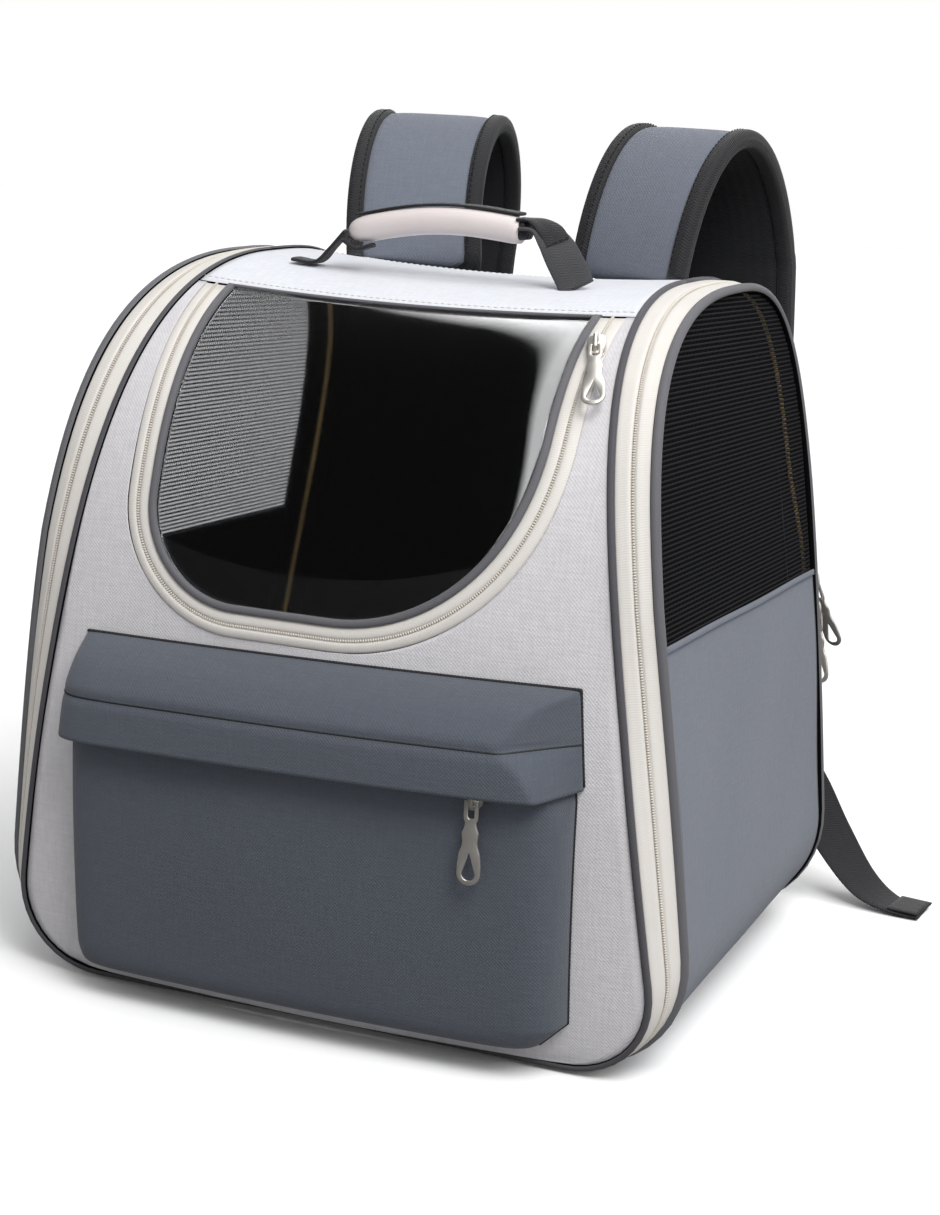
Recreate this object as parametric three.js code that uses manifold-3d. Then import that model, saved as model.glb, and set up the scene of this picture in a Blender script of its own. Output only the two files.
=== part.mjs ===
// A pet carrier backpack: a tapered soft bag with net sides, a zipped clear window, a front pocket under
// a flap, a padded carrying handle and two padded shoulder straps that stand in arches behind it.
// Millimetres, +Z up, the front faces -Y, and the origin is in the middle of the base, on the floor.
import * as THREE from "three";
import { mergeVertices } from "three/addons/utils/BufferGeometryUtils.js";
import Module from "manifold-3d";

const wasm = await Module();
wasm.setup();

// Cloth and seams
const GAP = 0.3; // between sewn neighbours
const CLOTH = 2; // wall of a panel
const TAPE = 1.6; // wall of a zip's tape
const PIPING = 2.4; // radius of the piped edges
const SEAM = PIPING + 2 * GAP; // from the middle of a piping to the cloth beside it

// Outlines of the bag. In side view each edge leans out from the floor and closes in a rounded arch at
// apexY, top. In front view it tapers upwards from halfWidth, with a slight belly and rounded bottom corners.
const PANEL_EDGE = {
  apexY: 6,
  top: 339,
  bottom: 3,
  halfWidth: 162.5,
  taper: 0.1615,
  belly: 2.3,
  corner: 45,
  front: { y: -143.7, rise: 5.7, turn: 2.4, lean: 12, leanTop: 150, leanPower: 2 },
  back: { y: 139, rise: 9, turn: 3.16, lean: 10, leanTop: 230, leanPower: 1 },
};
const SIDE_EDGE = {
  apexY: 13.7,
  top: 336.7,
  bottom: 2.7,
  halfWidth: 173.3,
  taper: 0.133,
  belly: 3.5,
  corner: 58,
  front: { y: -137.1, rise: 7.2, turn: 2.38, lean: 17, leanTop: 215, leanPower: 1 },
  back: { y: 131, rise: 9, turn: 3.16, lean: 10, leanTop: 230, leanPower: 1 },
};
const ARCH_FROM = 200; // height at which the walls start to turn into the arch
const CROWN = 6; // how far a panel swells in its middle
const COIL_HEIGHT = 1.4; // of a zip band's coil over its tape
const SAG = 5; // how far the ridge hangs between its ends
const WINDOW_SEAM = 328; // height of the window's top edge
// The strip over the ridge: heights of its seam behind and of a row on each side, and the seam's gap
const RIDGE = { seam: 335.8, crest: 337.9, drop: 0.08 };
const NET_SEAM = { front: 197, back: 187 }; // height of the seam between net and cloth on the sides

// Window in the front panel
const WINDOW = { half: 92.5, bottom: 187, leftCorner: 48, rightCorner: 90, binding: 6, zip: 13 };

// Front pocket and its flap, whose section runs from the panel out over the pocket and down
const POCKET = { half: 120.5, bottom: 13, top: 166, depth: 22, wall: 1.6, standOff: 0.6 };
const POCKET_FORM = { edge: 14, round: 2.2, narrowsFrom: 130, narrows: 0.18 };
const FLAP = { half: 123.5, low: 132, narrows: 0.1, tilt: 2.5, wall: 2, edge: 18, round: 2.2 };
const FLAP_SECTION = [
  { z: 175, depth: 0.6 },
  { z: 172.5, depth: 11 },
  { z: 167, depth: 22 },
  { z: 159, depth: 29.5 },
  { z: 147, depth: 32.5 },
  { z: 132, depth: 33 },
];
// The pocket's right end, which is pressed in aslant, most of all from this height upwards
const PRESSED = { from: 153, slope: 1.1, opens: 0.07, edge: 2.6, cover: 2.4, play: 0.8 };

// Handle on the ridge: a padded grip on webbing whose ends are sewn down; up is the height over the panel
const HANDLE = { y: -20, width: 20, wall: 2, gripRadius: 7.2, gripRise: 5 };
const GRIP = { from: { x: -51, z: 353 }, to: { x: 36, z: 359 } };
const HANDLE_LEFT = [
  { x: -80, up: 0.8 },
  { x: -68, up: 1 },
  { x: -61, up: 8 },
  { x: -54, up: 17.5 },
];
const HANDLE_RIGHT = [
  { x: 80, up: 0.8 },
  { x: 67, up: 1 },
  { x: 58, up: 12 },
  { x: 50, up: 22 },
  { x: 37.4, up: 26 },
];

// Shoulder straps: an arch over the top edge, then a long run down behind the back panel.
// A turn is the angle in degrees by which the outer edge is turned to the front.
const STRAP = { core: 52, coreWall: 8, edge: 9, edgeWall: 10 };
const STRAP_ARCH = {
  y: 132,
  z: 334,
  depth: 57,
  height: 70,
  from: { x: 58, turn: 20 },
  to: { x: 82, turn: 11 },
};
const STRAP_RUN = [
  { x: 84, y: 186, z: 296, turn: 9 },
  { x: 87, y: 178, z: 245, turn: 7 },
  { x: 90, y: 170, z: 195, turn: 5 },
  { x: 93, y: 163, z: 140, turn: 3 },
];
const WEBBING = { width: 25, wall: 1.8 };
const ADJUSTER = { x: 94, y: 161.5, z: 124.6, width: 33, height: 26, wall: 4, rim: 3.5 };
const LOWER_WEBBING = [
  { x: 94.2, y: 161, z: 109.8, turn: 2 },
  { x: 95, y: 159, z: 102, turn: 2 },
  { x: 101, y: 153, z: 82, turn: 0 },
  { x: 112, y: 145, z: 56, turn: 0 },
  { x: 122, y: 137.5, z: 38, turn: 0 },
  { x: 126, y: 134.7, z: 26, turn: 0 },
];
// The loose end below an adjuster, with the direction of its width, down to the floor
const TAIL = [
  { x: 95, y: 165.4, z: 122, wx: 1, wy: 0, wz: 0 },
  { x: 102, y: 168, z: 105, wx: 0.95, wy: 0.1, wz: 0.28 },
  { x: 122, y: 171, z: 86, wx: 0.8, wy: 0.3, wz: 0.5 },
  { x: 146, y: 170, z: 62, wx: 0.6, wy: 0.52, wz: 0.6 },
  { x: 165, y: 166, z: 35, wx: 0.45, wy: 0.72, wz: 0.5 },
  { x: 185, y: 162, z: 12, wx: 0.25, wy: 0.92, wz: 0.3 },
  { x: 203, y: 160, z: 2.6, wx: 0.06, wy: 1, wz: 0.04 },
  { x: 220, y: 159, z: 1.1, wx: 0, wy: 1, wz: 0 },
];

// Metal zip sliders and their pulls, which swing on a bar under the slider's bridge
const radians = THREE.MathUtils.degToRad;
const SLIDER = { length: 13, width: 9, height: 3.6, chamfer: 2 };
const BRIDGE = { width: 2, length: 9.6, rise: 3.2, wall: 0.9, sunk: 0.5 };
const PULL = { bar: 0.75, wall: 1.2, head: 3.2, slot: 1.5, slotLength: 7.5, half: 5.2, length: 37 };
const PULL_HOLE = { from: 22, half: 3 };
const PULL_SEAT = { y: -1.8, z: 1.15 }; // of the bar, from the middle of the slider's top
const WINDOW_SLIDER = { x: 99.2, z: 315, lift: 0.4, turn: radians(15), lean: radians(-4) };
const POCKET_SLIDER = { x: 84, z: 133, lift: 0.4 };
const BAND_SLIDER = { upper: 177, lower: 162, lift: 1.7 };
const BAND_SWELL = { z: 172, reach: 48, height: 6 }; // of the tape behind, where the sliders hang on it
const UPPER_PULL_LEAN = radians(22); // this pull lies over the slider below it

const FINISH = {
  light: { color: 0xcfccd1, roughness: 0.85 },
  white: { color: 0xe9e8ee, roughness: 0.8 },
  slate: { color: 0x6f7786, roughness: 0.9 },
  pocket: { color: 0x565d68, roughness: 0.9 },
  cream: { color: 0xf1ece1, roughness: 0.8 },
  piping: { color: 0x6b6b70, roughness: 0.7 },
  net: { color: 0x17171a, roughness: 0.8 },
  film: { color: 0x1b1c20, roughness: 0.08, transparent: true, opacity: 0.35 },
  black: { color: 0x141417, roughness: 0.75 },
  grey: { color: 0x55565a, roughness: 0.8 },
  grip: { color: 0xece6e3, roughness: 0.45 },
  metal: { color: 0xcfcdc9, roughness: 0.25, metalness: 1 },
};

const bag = new THREE.Group();

/** Adds a named piece with its own material to the bag. */
function addPiece(name, geometry, finish) {
  const mesh = new THREE.Mesh(geometry, new THREE.MeshStandardMaterial(FINISH[finish]));
  mesh.name = name;
  bag.add(mesh);
  return mesh;
}

// Geometry helpers

/** Turns a geometry's faces round where they point inwards. */
function facingOut(geometry) {
  const p = geometry.getAttribute("position");
  const index = geometry.index.array;
  const corner = (i) => new THREE.Vector3().fromBufferAttribute(p, index[i]);
  let volume = 0;
  for (let i = 0; i < index.length; i += 3) {
    volume += corner(i).dot(corner(i + 1).cross(corner(i + 2)));
  }
  if (volume < 0) geometry.setIndex(Array.from(index).reverse());
  return geometry;
}

/** A geometry from a list of points and a list of triangles. */
function fromPoints(points, triangles) {
  const geometry = new THREE.BufferGeometry().setFromPoints(points);
  geometry.setIndex(triangles);
  return facingOut(geometry);
}

/** Two triangles for the four corners of a quad. */
const quad = (a, b, c, d) => [a, b, c, a, c, d];

/** A closed wall between two grids of points that match row by row. */
function wallBetween(outer, inner) {
  const rows = outer.length;
  const columns = outer[0].length;
  const at = (layer, i, j) => (layer * rows + i) * columns + j;
  const triangles = [];
  for (let i = 0; i + 1 < rows; i += 1) {
    for (let j = 0; j + 1 < columns; j += 1) {
      triangles.push(...quad(at(0, i, j), at(0, i, j + 1), at(0, i + 1, j + 1), at(0, i + 1, j)));
      triangles.push(...quad(at(1, i, j), at(1, i + 1, j), at(1, i + 1, j + 1), at(1, i, j + 1)));
    }
    triangles.push(...quad(at(0, i + 1, 0), at(1, i + 1, 0), at(1, i, 0), at(0, i, 0)));
    const last = columns - 1;
    triangles.push(...quad(at(0, i, last), at(1, i, last), at(1, i + 1, last), at(0, i + 1, last)));
  }
  for (let j = 0; j + 1 < columns; j += 1) {
    const end = rows - 1;
    triangles.push(...quad(at(0, 0, j), at(1, 0, j), at(1, 0, j + 1), at(0, 0, j + 1)));
    triangles.push(...quad(at(0, end, j + 1), at(1, end, j + 1), at(1, end, j), at(0, end, j)));
  }
  return fromPoints([...outer.flat(), ...inner.flat()], triangles);
}

/** A grid moved along its own normals, which point away from the middle of the bag. */
function offsetGrid(grid, distance, middle = new THREE.Vector3(0, 0, 150)) {
  const clamp = (i, count) => Math.min(Math.max(i, 0), count - 1);
  return grid.map((row, i) =>
    row.map((point, j) => {
      const pick = (a, b) => grid[clamp(a, grid.length)][clamp(b, row.length)];
      const along = pick(i + 1, j).clone().sub(pick(i - 1, j));
      const across = pick(i, j + 1).clone().sub(pick(i, j - 1));
      const normal = along.cross(across).normalize();
      if (normal.dot(point.clone().sub(middle)) < 0) normal.negate();
      return point.clone().addScaledVector(normal, distance);
    }),
  );
}

/** A cloth wall whose outer face is the grid. */
const sheet = (grid, wall) => wallBetween(grid, offsetGrid(grid, -wall));

/** A closed body through rings of points, with flat ends. */
function loft(rings) {
  const sides = rings[0].length;
  const at = (i, j) => i * sides + (j % sides);
  const triangles = [];
  for (let i = 0; i + 1 < rings.length; i += 1) {
    for (let j = 0; j < sides; j += 1) {
      triangles.push(...quad(at(i, j), at(i, j + 1), at(i + 1, j + 1), at(i + 1, j)));
    }
  }
  for (let j = 1; j + 1 < sides; j += 1) {
    triangles.push(at(0, 0), at(0, j + 1), at(0, j));
    const end = rings.length - 1;
    triangles.push(at(end, 0), at(end, j), at(end, j + 1));
  }
  return fromPoints(rings.flat(), triangles);
}

/** The direction of a path at one of its points. */
const tangentAt = (points, i) =>
  points[Math.min(i + 1, points.length - 1)].clone().sub(points[Math.max(i - 1, 0)]).normalize();

/** A round tube with a ring at each point of a path. */
function tube(points, radius, sides = 6) {
  const across = new THREE.Vector3(1, 0.3, 0.2);
  return loft(
    points.map((point, i) => {
      const along = tangentAt(points, i);
      across.addScaledVector(along, -across.dot(along)).normalize();
      const up = along.clone().cross(across);
      return Array.from({ length: sides }, (_, k) => {
        const angle = (2 * Math.PI * k) / sides;
        const aside = point.clone().addScaledVector(across, radius * Math.cos(angle));
        return aside.addScaledVector(up, radius * Math.sin(angle));
      });
    }),
  );
}

/** The directions across and off a band at one point of its path. */
function bandFrame(points, widths, i) {
  const along = tangentAt(points, i);
  const across = widths[i].clone();
  across.addScaledVector(along, -across.dot(along)).normalize();
  return { across, off: across.clone().cross(along) };
}

/** Flat webbing along a path, its width along each point's own direction. */
function webbing(points, widths, width, wall) {
  const face = (k) =>
    points.map((point, i) => {
      const { across, off } = bandFrame(points, widths, i);
      const middle = point.clone().addScaledVector(off, (k * wall) / 2);
      return [-0.5, 0, 0.5].map((t) => middle.clone().addScaledVector(across, t * width));
    });
  return wallBetween(face(1), face(-1));
}

/** A padded band beside a path, with chamfered edges. Its first end is cut to the cloth it stands on. */
function paddedBand(points, widths, { width, wall, shift = 0, chamfer }) {
  const half = width / 2;
  const quarter = [[half, wall / 2 - chamfer], [half - 1.6 * chamfer, wall / 2]];
  const upper = [...quarter, ...quarter.map(([x, z]) => [-x, z]).reverse()];
  const section = [...upper, ...upper.map(([x, z]) => [x, -z]).reverse()];
  const rings = points.map((point, i) => {
    const { across, off } = bandFrame(points, widths, i);
    return section.map(([x, z]) => point.clone().addScaledVector(across, x + shift).addScaledVector(off, z));
  });
  for (const foot of rings[0]) foot.z = ridgeZ(foot.x, foot.y) + 2 * GAP;
  return loft(rings);
}

/** The solid of a geometry, for cutting and joining. */
function solidOf(geometry) {
  const bare = geometry.clone();
  bare.deleteAttribute("normal");
  bare.deleteAttribute("uv");
  const merged = mergeVertices(bare, 1e-4);
  return new wasm.Manifold(
    new wasm.Mesh({
      numProp: 3,
      vertProperties: new Float32Array(merged.getAttribute("position").array),
      triVerts: new Uint32Array(merged.index.array),
    }),
  );
}

/** The geometry of a solid that was cut or joined. */
function geometryOf(solid) {
  const mesh = solid.getMesh();
  const geometry = new THREE.BufferGeometry();
  geometry.setAttribute("position", new THREE.BufferAttribute(new Float32Array(mesh.vertProperties), 3));
  geometry.setIndex(Array.from(mesh.triVerts));
  return geometry;
}

/** Numbers from a to b in even steps, both ends included. */
const spread = (a, b, count) => Array.from({ length: count }, (_, i) => a + ((b - a) * i) / (count - 1));
const lerp = THREE.MathUtils.lerp;

// Outlines of the bag

/** Half the width of an edge at a height, with its rounded bottom corner. */
function edgeX(edge, z, inset = 0) {
  const wide = edge.halfWidth - edge.taper * z + edge.belly * Math.sin((Math.PI * z) / edge.top) - inset;
  const radius = edge.corner - inset;
  const below = Math.max(0, radius - (z - edge.bottom - inset));
  return wide - radius + Math.sqrt(Math.max(0, radius * radius - below * below));
}

/** Depth of an edge at a height, on the front or the back. */
function edgeY(edge, face, z, inset = 0) {
  const { y, rise, turn, lean, leanTop, leanPower } = edge[face];
  const out = Math.sign(y);
  const share = THREE.MathUtils.clamp(z / (edge.top - inset), 0, 1);
  const arch = (1 - share ** rise) ** (1 / turn);
  const leaning = lean * Math.max(0, 1 - z / leanTop) ** leanPower;
  return edge.apexY + (y - out * inset - edge.apexY) * arch - out * leaning;
}

/** Heights along an edge: through the rounded corner, up the wall and round the arch to a last height. */
function edgeHeights(edge, face, { inset = 0, to = edge.top, corner = 5, wall = 6, arch = 8 } = {}) {
  const low = edge.bottom + inset;
  const radius = edge.corner - inset;
  const { rise } = edge[face];
  const angle = (z) => Math.asin((z / edge.top) ** (rise / 2));
  const bend = spread(0, Math.PI / 2, corner).map((a) => low + radius * (1 - Math.cos(a)));
  const straight = spread(low + radius, ARCH_FROM, wall).slice(1);
  const round = spread(angle(ARCH_FROM), angle(to), arch).map((a) => edge.top * Math.sin(a) ** (2 / rise));
  return [...bend, ...straight, ...round.slice(1)];
}

/** A point of the front or back panel: u runs from -1 on the left edge to 1 on the right one. */
function panelPoint(face, u, z) {
  const round = 1 - u * u;
  const share = z / PANEL_EDGE.top;
  const swell = Math.sign(PANEL_EDGE[face].y) * CROWN * round * (1 - share ** 4);
  const drop = SAG * round * share ** 12;
  return new THREE.Vector3(
    u * edgeX(PANEL_EDGE, z, SEAM),
    edgeY(PANEL_EDGE, face, z) + swell,
    z - drop,
  );
}

/** A row of a panel from its left edge to its right one. */
const panelRow = (face, z, columns) => spread(-1, 1, columns).map((u) => panelPoint(face, u, z));

/** The front panel's outer face at a place given by its width and height. */
const frontY = (x, z) => panelPoint("front", x / edgeX(PANEL_EDGE, z, SEAM), z).y;

/** The points of an edge on one side, from the middle of the front's bottom round to the back's. */
function edgePath(edge, side) {
  const run = (face) => {
    const heights = edgeHeights(edge, face, { corner: 6, wall: 5, arch: 10 });
    const flat = edgeX(edge, heights[0]);
    const floor = [GAP, flat / 2].map((x) => ({ x, z: heights[0] }));
    const rise = heights.map((z) => ({ x: edgeX(edge, z), z }));
    return [...floor, ...rise].map(({ x, z }) => new THREE.Vector3(side * x, edgeY(edge, face, z), z));
  };
  return [...run("front"), ...run("back").reverse().slice(1)];
}

// The bag's walls

const FRONT_COLUMNS = 9;

/** The front face from a height up to the window's seam, moved outwards, as a wall. */
function frontSkin(from, outwards, wall) {
  const heights = edgeHeights(PANEL_EDGE, "front", { inset: SEAM, to: WINDOW_SEAM, wall: 5, arch: 9 });
  const grid = heights.filter((z) => z >= from).map((z) => panelRow("front", z, FRONT_COLUMNS));
  return sheet(offsetGrid(grid, outwards), wall);
}

/** The window's outline grown by a margin, as a block that runs through the front. */
function windowBlock(margin) {
  const { half, bottom, leftCorner, rightCorner } = WINDOW;
  const above = 400;
  const left = leftCorner + margin;
  const right = rightCorner + margin;
  const outline = new THREE.Shape();
  outline.moveTo(-half - margin, above);
  outline.lineTo(-half - margin, bottom + leftCorner);
  outline.absarc(-half + leftCorner, bottom + leftCorner, left, Math.PI, 1.5 * Math.PI);
  outline.absarc(half - rightCorner, bottom + rightCorner, right, 1.5 * Math.PI, 2 * Math.PI);
  outline.lineTo(half + margin, above);
  const block = new THREE.ExtrudeGeometry(outline, { depth: 220, curveSegments: 6, bevelEnabled: false });
  return solidOf(block.rotateX(Math.PI / 2));
}

/** The front panel with its window opening, and the zip, binding and clear film that fill it. */
function addFront() {
  const { binding, zip } = WINDOW;
  const upper = 150;
  const ring = (outer, inner) => windowBlock(outer).subtract(windowBlock(inner));
  const panel = solidOf(frontSkin(0, 0, CLOTH)).subtract(windowBlock(zip + GAP));
  addPiece("front_panel", geometryOf(panel), "light");
  const tape = solidOf(frontSkin(upper, 0, TAPE)).intersect(ring(zip, GAP));
  addPiece("window_zip", geometryOf(tape), "cream");
  const edging = solidOf(frontSkin(upper, 0.9, 3.2)).intersect(ring(0, -binding));
  addPiece("window_binding", geometryOf(edging), "piping");
  const film = solidOf(frontSkin(upper, -0.4, 1)).intersect(windowBlock(-binding - GAP));
  addPiece("window_film", geometryOf(film), "film");
}

/** The white strip over the ridge, and the slate back panel that starts behind it. */
function addTopAndBack() {
  const columns = 7;
  const { seam, crest, drop } = RIDGE;
  const rise = [...spread(WINDOW_SEAM + GAP, seam, 3), crest, PANEL_EDGE.top];
  const ahead = rise.map((z) => panelRow("front", z, columns));
  const over = [crest, seam].map((z) => panelRow("back", z, columns));
  addPiece("top_strip", sheet([...ahead, ...over], CLOTH), "white");
  const back = edgeHeights(PANEL_EDGE, "back", { inset: SEAM, to: seam - drop, wall: 5, arch: 9 });
  const behind = back.reverse().map((z) => panelRow("back", z, columns));
  addPiece("back_panel", sheet(behind, CLOTH), "slate");
}

/** How far a zip band swells at a point: only behind, round its sliders. */
function bandSwell({ y, z }) {
  return y < 0 ? 0 : BAND_SWELL.height * Math.exp(-(((z - BAND_SWELL.z) / BAND_SWELL.reach) ** 4));
}

/** A zip band between the panel's edge and the side panel's edge, with its coil standing along the middle. */
function addBand(name, side) {
  const inner = edgePath(PANEL_EDGE, side);
  const outer = edgePath(SIDE_EDGE, side);
  const grid = inner.map((point, i) => {
    const across = outer[i].clone().sub(point);
    const along = inner[Math.min(i + 1, inner.length - 1)].clone().sub(inner[Math.max(i - 1, 0)]).normalize();
    const square = Math.sqrt(across.lengthSq() - across.dot(along) ** 2);
    const trim = SEAM / square;
    return [trim, 0.42, 0.5, 0.58, 1 - trim].map((t) => point.clone().addScaledVector(across, t));
  });
  const outwards = offsetGrid(grid, 1);
  grid.forEach((row, i) => {
    [0, 1, 1, 1, 0].forEach((share, j) => {
      const proud = share * bandSwell(row[j]) + (j === 2 ? COIL_HEIGHT : 0);
      row[j].lerp(outwards[i][j], proud);
    });
  });
  addPiece(name, sheet(grid, TAPE), "cream");
}

/** The side panel at a share of the way from its front edge to its back edge. */
function sidePoint(side, across, z) {
  const inset = SEAM + 2 * GAP;
  const y = lerp(edgeY(SIDE_EDGE, "front", z, inset), edgeY(SIDE_EDGE, "back", z, inset), across);
  return new THREE.Vector3(side * edgeX(SIDE_EDGE, z), y, z);
}

/** The net in the upper half of a side and the cloth below it, which curves under to the base. */
function addSide(suffix, side) {
  const columns = spread(0, 1, 7);
  const seam = (across, margin) => lerp(NET_SEAM.front, NET_SEAM.back, across) + margin;
  const peak = SIDE_EDGE.top - SEAM - 3 * GAP;
  const net = spread(0, 1, 12).map((t) =>
    columns.map((across) => sidePoint(side, across, lerp(seam(across, GAP), peak, 1 - (1 - t) ** 2))),
  );
  addPiece(`side_net_${suffix}`, sheet(net, CLOTH), "net");
  const { bottom, corner } = SIDE_EDGE;
  const wall = spread(0, 1, 6).map((t) =>
    columns.map((across) => sidePoint(side, across, lerp(seam(across, -GAP), bottom + corner, t))),
  );
  const bend = spread(Math.PI / 2, 0, 7).slice(1).map((a) => bottom + corner * (1 - Math.cos(a)));
  const cloth = [...wall, ...bend.map((z) => columns.map((across) => sidePoint(side, across, z)))];
  addPiece(`side_cloth_${suffix}`, sheet(cloth, CLOTH), "slate");
}

/** The flat base between the two side cloths. */
function addBase() {
  const low = SIDE_EDGE.bottom;
  const half = edgeX(SIDE_EDGE, low) - GAP;
  const front = edgeY(SIDE_EDGE, "front", low, SEAM);
  const back = edgeY(SIDE_EDGE, "back", low, SEAM);
  const plate = new THREE.BoxGeometry(2 * half, back - front, low);
  plate.translate(0, (front + back) / 2, low / 2);
  addPiece("base_panel", plate, "slate");
}

/** Round pipings: one round the front panel, one round the back panel and one along each side panel. */
function addPipings() {
  const left = edgePath(PANEL_EDGE, -1);
  const right = edgePath(PANEL_EDGE, 1);
  const apex = left.findIndex((p) => p.z > PANEL_EDGE.top - 0.01);
  const front = [...left.slice(0, apex).reverse(), ...right.slice(0, apex)];
  const back = [...left.slice(apex), ...right.slice(apex).reverse()];
  addPiece("panel_piping_front", tube(front, PIPING), "piping");
  addPiece("panel_piping_back", tube(back, PIPING), "piping");
  addPiece("side_piping_left", tube(edgePath(SIDE_EDGE, -1), PIPING), "piping");
  addPiece("side_piping_right", tube(edgePath(SIDE_EDGE, 1), PIPING), "piping");
}

// The front pocket

/** A share that is 1 over most of -1 to 1 and falls to 0 in a rounded edge at both ends. */
const pillow = (t, edge, round) => (1 - Math.min(1, Math.abs(t)) ** edge) ** (1 / round);

/** Shares from -1 to 1 that lie closer together towards both ends. */
const crowded = (count) => spread(-1, 1, count).map((t) => Math.sign(t) * (1 - (1 - Math.abs(t)) ** 2.4));

/** A point in front of the front panel by a depth. */
const before = (x, z, depth) => new THREE.Vector3(x, frontY(x, z) - depth, z);

/** Half the flap's width at a height. */
const flapHalf = (z) => FLAP.half - FLAP.narrows * (z - FLAP.low);

/** How far the flap, or the pocket under it, can stand out beside its pressed right end. */
function pressedDepth(x, z, under = false) {
  const slope = PRESSED.slope + PRESSED.opens * Math.max(0, PRESSED.from - z);
  const most = PRESSED.edge + slope * Math.max(0, flapHalf(z) - x);
  return under ? most - PRESSED.cover * Math.hypot(1, slope) - PRESSED.play : most;
}

/** The pocket, hollow and open to the panel behind it, and the flap that hangs over its upper edge. */
function addPocket() {
  const { half, bottom, top, depth, wall, standOff } = POCKET;
  const { edge, round, narrowsFrom, narrows } = POCKET_FORM;
  const pocket = crowded(11).map((v) =>
    crowded(13).map((u) => {
      const z = lerp(bottom, top, (v + 1) / 2);
      const x = u * (half - narrows * Math.max(0, z - narrowsFrom));
      const out = standOff + depth * pillow(u, edge, round) * pillow(v, edge, round);
      return before(x, z, Math.max(standOff, Math.min(out, pressedDepth(x, z, true))));
    }),
  );
  const inside = new THREE.Vector3(0, -135, (bottom + top) / 2);
  const clear = (point) => point.setY(Math.min(point.y, frontY(point.x, point.z) - GAP));
  const pouch = (grid, thick) => {
    const inner = offsetGrid(grid, -thick, inside);
    return wallBetween(grid, inner.map((row) => row.map(clear)));
  };
  addPiece("pocket_body", pouch(pocket, wall), "pocket");
  const flap = FLAP_SECTION.map((row) =>
    crowded(13).map((u) => {
      const z = row.z + FLAP.tilt * u;
      const x = u * flapHalf(row.z);
      const out = Math.min(row.depth * pillow(u, FLAP.edge, FLAP.round), pressedDepth(x, row.z));
      return before(x, z, Math.max(standOff, out));
    }),
  );
  addPiece("pocket_flap", pouch(flap, FLAP.wall), "pocket");
}

// Handle and shoulder straps

/** Height of the panels' outer face near the ridge, at a place given by x and y. */
function ridgeZ(x, y) {
  const face = y < PANEL_EDGE.apexY ? "front" : "back";
  const { y: reach, rise, turn } = PANEL_EDGE[face];
  const share = (y - PANEL_EDGE.apexY) / (reach - PANEL_EDGE.apexY);
  const z = PANEL_EDGE.top * (1 - share ** turn) ** (1 / rise);
  return panelPoint(face, x / edgeX(PANEL_EDGE, z, SEAM), z).z;
}

/** The padded grip and the two webbing ends that carry it. */
function addHandle() {
  const { y, width, wall, gripRadius, gripRise } = HANDLE;
  const grip = spread(0, 1, 8).map(
    (t) =>
      new THREE.Vector3(
        lerp(GRIP.from.x, GRIP.to.x, t),
        y,
        lerp(GRIP.from.z, GRIP.to.z, t) + gripRise * Math.sin(Math.PI * t),
      ),
  );
  addPiece("handle_grip", tube(grip, gripRadius, 10), "grip");
  const end = (table) => {
    const points = table.map(({ x, up }) => new THREE.Vector3(x, y, ridgeZ(x, y) + GAP + wall / 2 + up));
    const widths = table.map(() => new THREE.Vector3(0, 1, 0));
    return webbing(points, widths, width, wall);
  };
  addPiece("handle_webbing_left", end(HANDLE_LEFT), "black");
  addPiece("handle_webbing_right", end(HANDLE_RIGHT), "grey");
}

/** The path of a shoulder strap with the direction of its width at each point. */
function strapPath(side) {
  const { y, z, depth, height, from, to } = STRAP_ARCH;
  const arch = spread(0, 1, 10).map((t) => ({
    x: lerp(from.x, to.x, t),
    y: y - depth * Math.cos(Math.PI * t),
    z: z + height * Math.sin(Math.PI * t),
    turn: lerp(from.turn, to.turn, t),
  }));
  return pathWithTurns([...arch, ...STRAP_RUN], side);
}

/** Points and width directions of a table whose rows give a place and a turn, on one side of the bag. */
function pathWithTurns(rows, side) {
  const points = rows.map((row) => new THREE.Vector3(side * row.x, row.y, row.z));
  const widths = rows.map(({ turn }) => {
    const angle = radians(turn);
    return new THREE.Vector3(Math.cos(angle), -side * Math.sin(angle), 0);
  });
  return { points, widths };
}

/** A ladder-shaped strap adjuster with two slots, facing the back. */
function adjuster() {
  const { width, height, wall, rim } = ADJUSTER;
  const slot = (height - 3 * rim) / 2;
  const box = (shape, w, h, middle) => {
    shape.moveTo(-w / 2, middle - h / 2);
    shape.lineTo(w / 2, middle - h / 2);
    shape.lineTo(w / 2, middle + h / 2);
    shape.lineTo(-w / 2, middle + h / 2);
    return shape;
  };
  const frame = box(new THREE.Shape(), width, height, 0);
  const middles = [-1, 1].map((k) => (k * (slot + rim)) / 2);
  frame.holes = middles.map((middle) => box(new THREE.Path(), width - 2 * rim, slot, middle));
  const plate = new THREE.ExtrudeGeometry(frame, { depth: wall, bevelEnabled: false });
  return plate.rotateX(Math.PI / 2).translate(0, wall / 2, 0);
}

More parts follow.
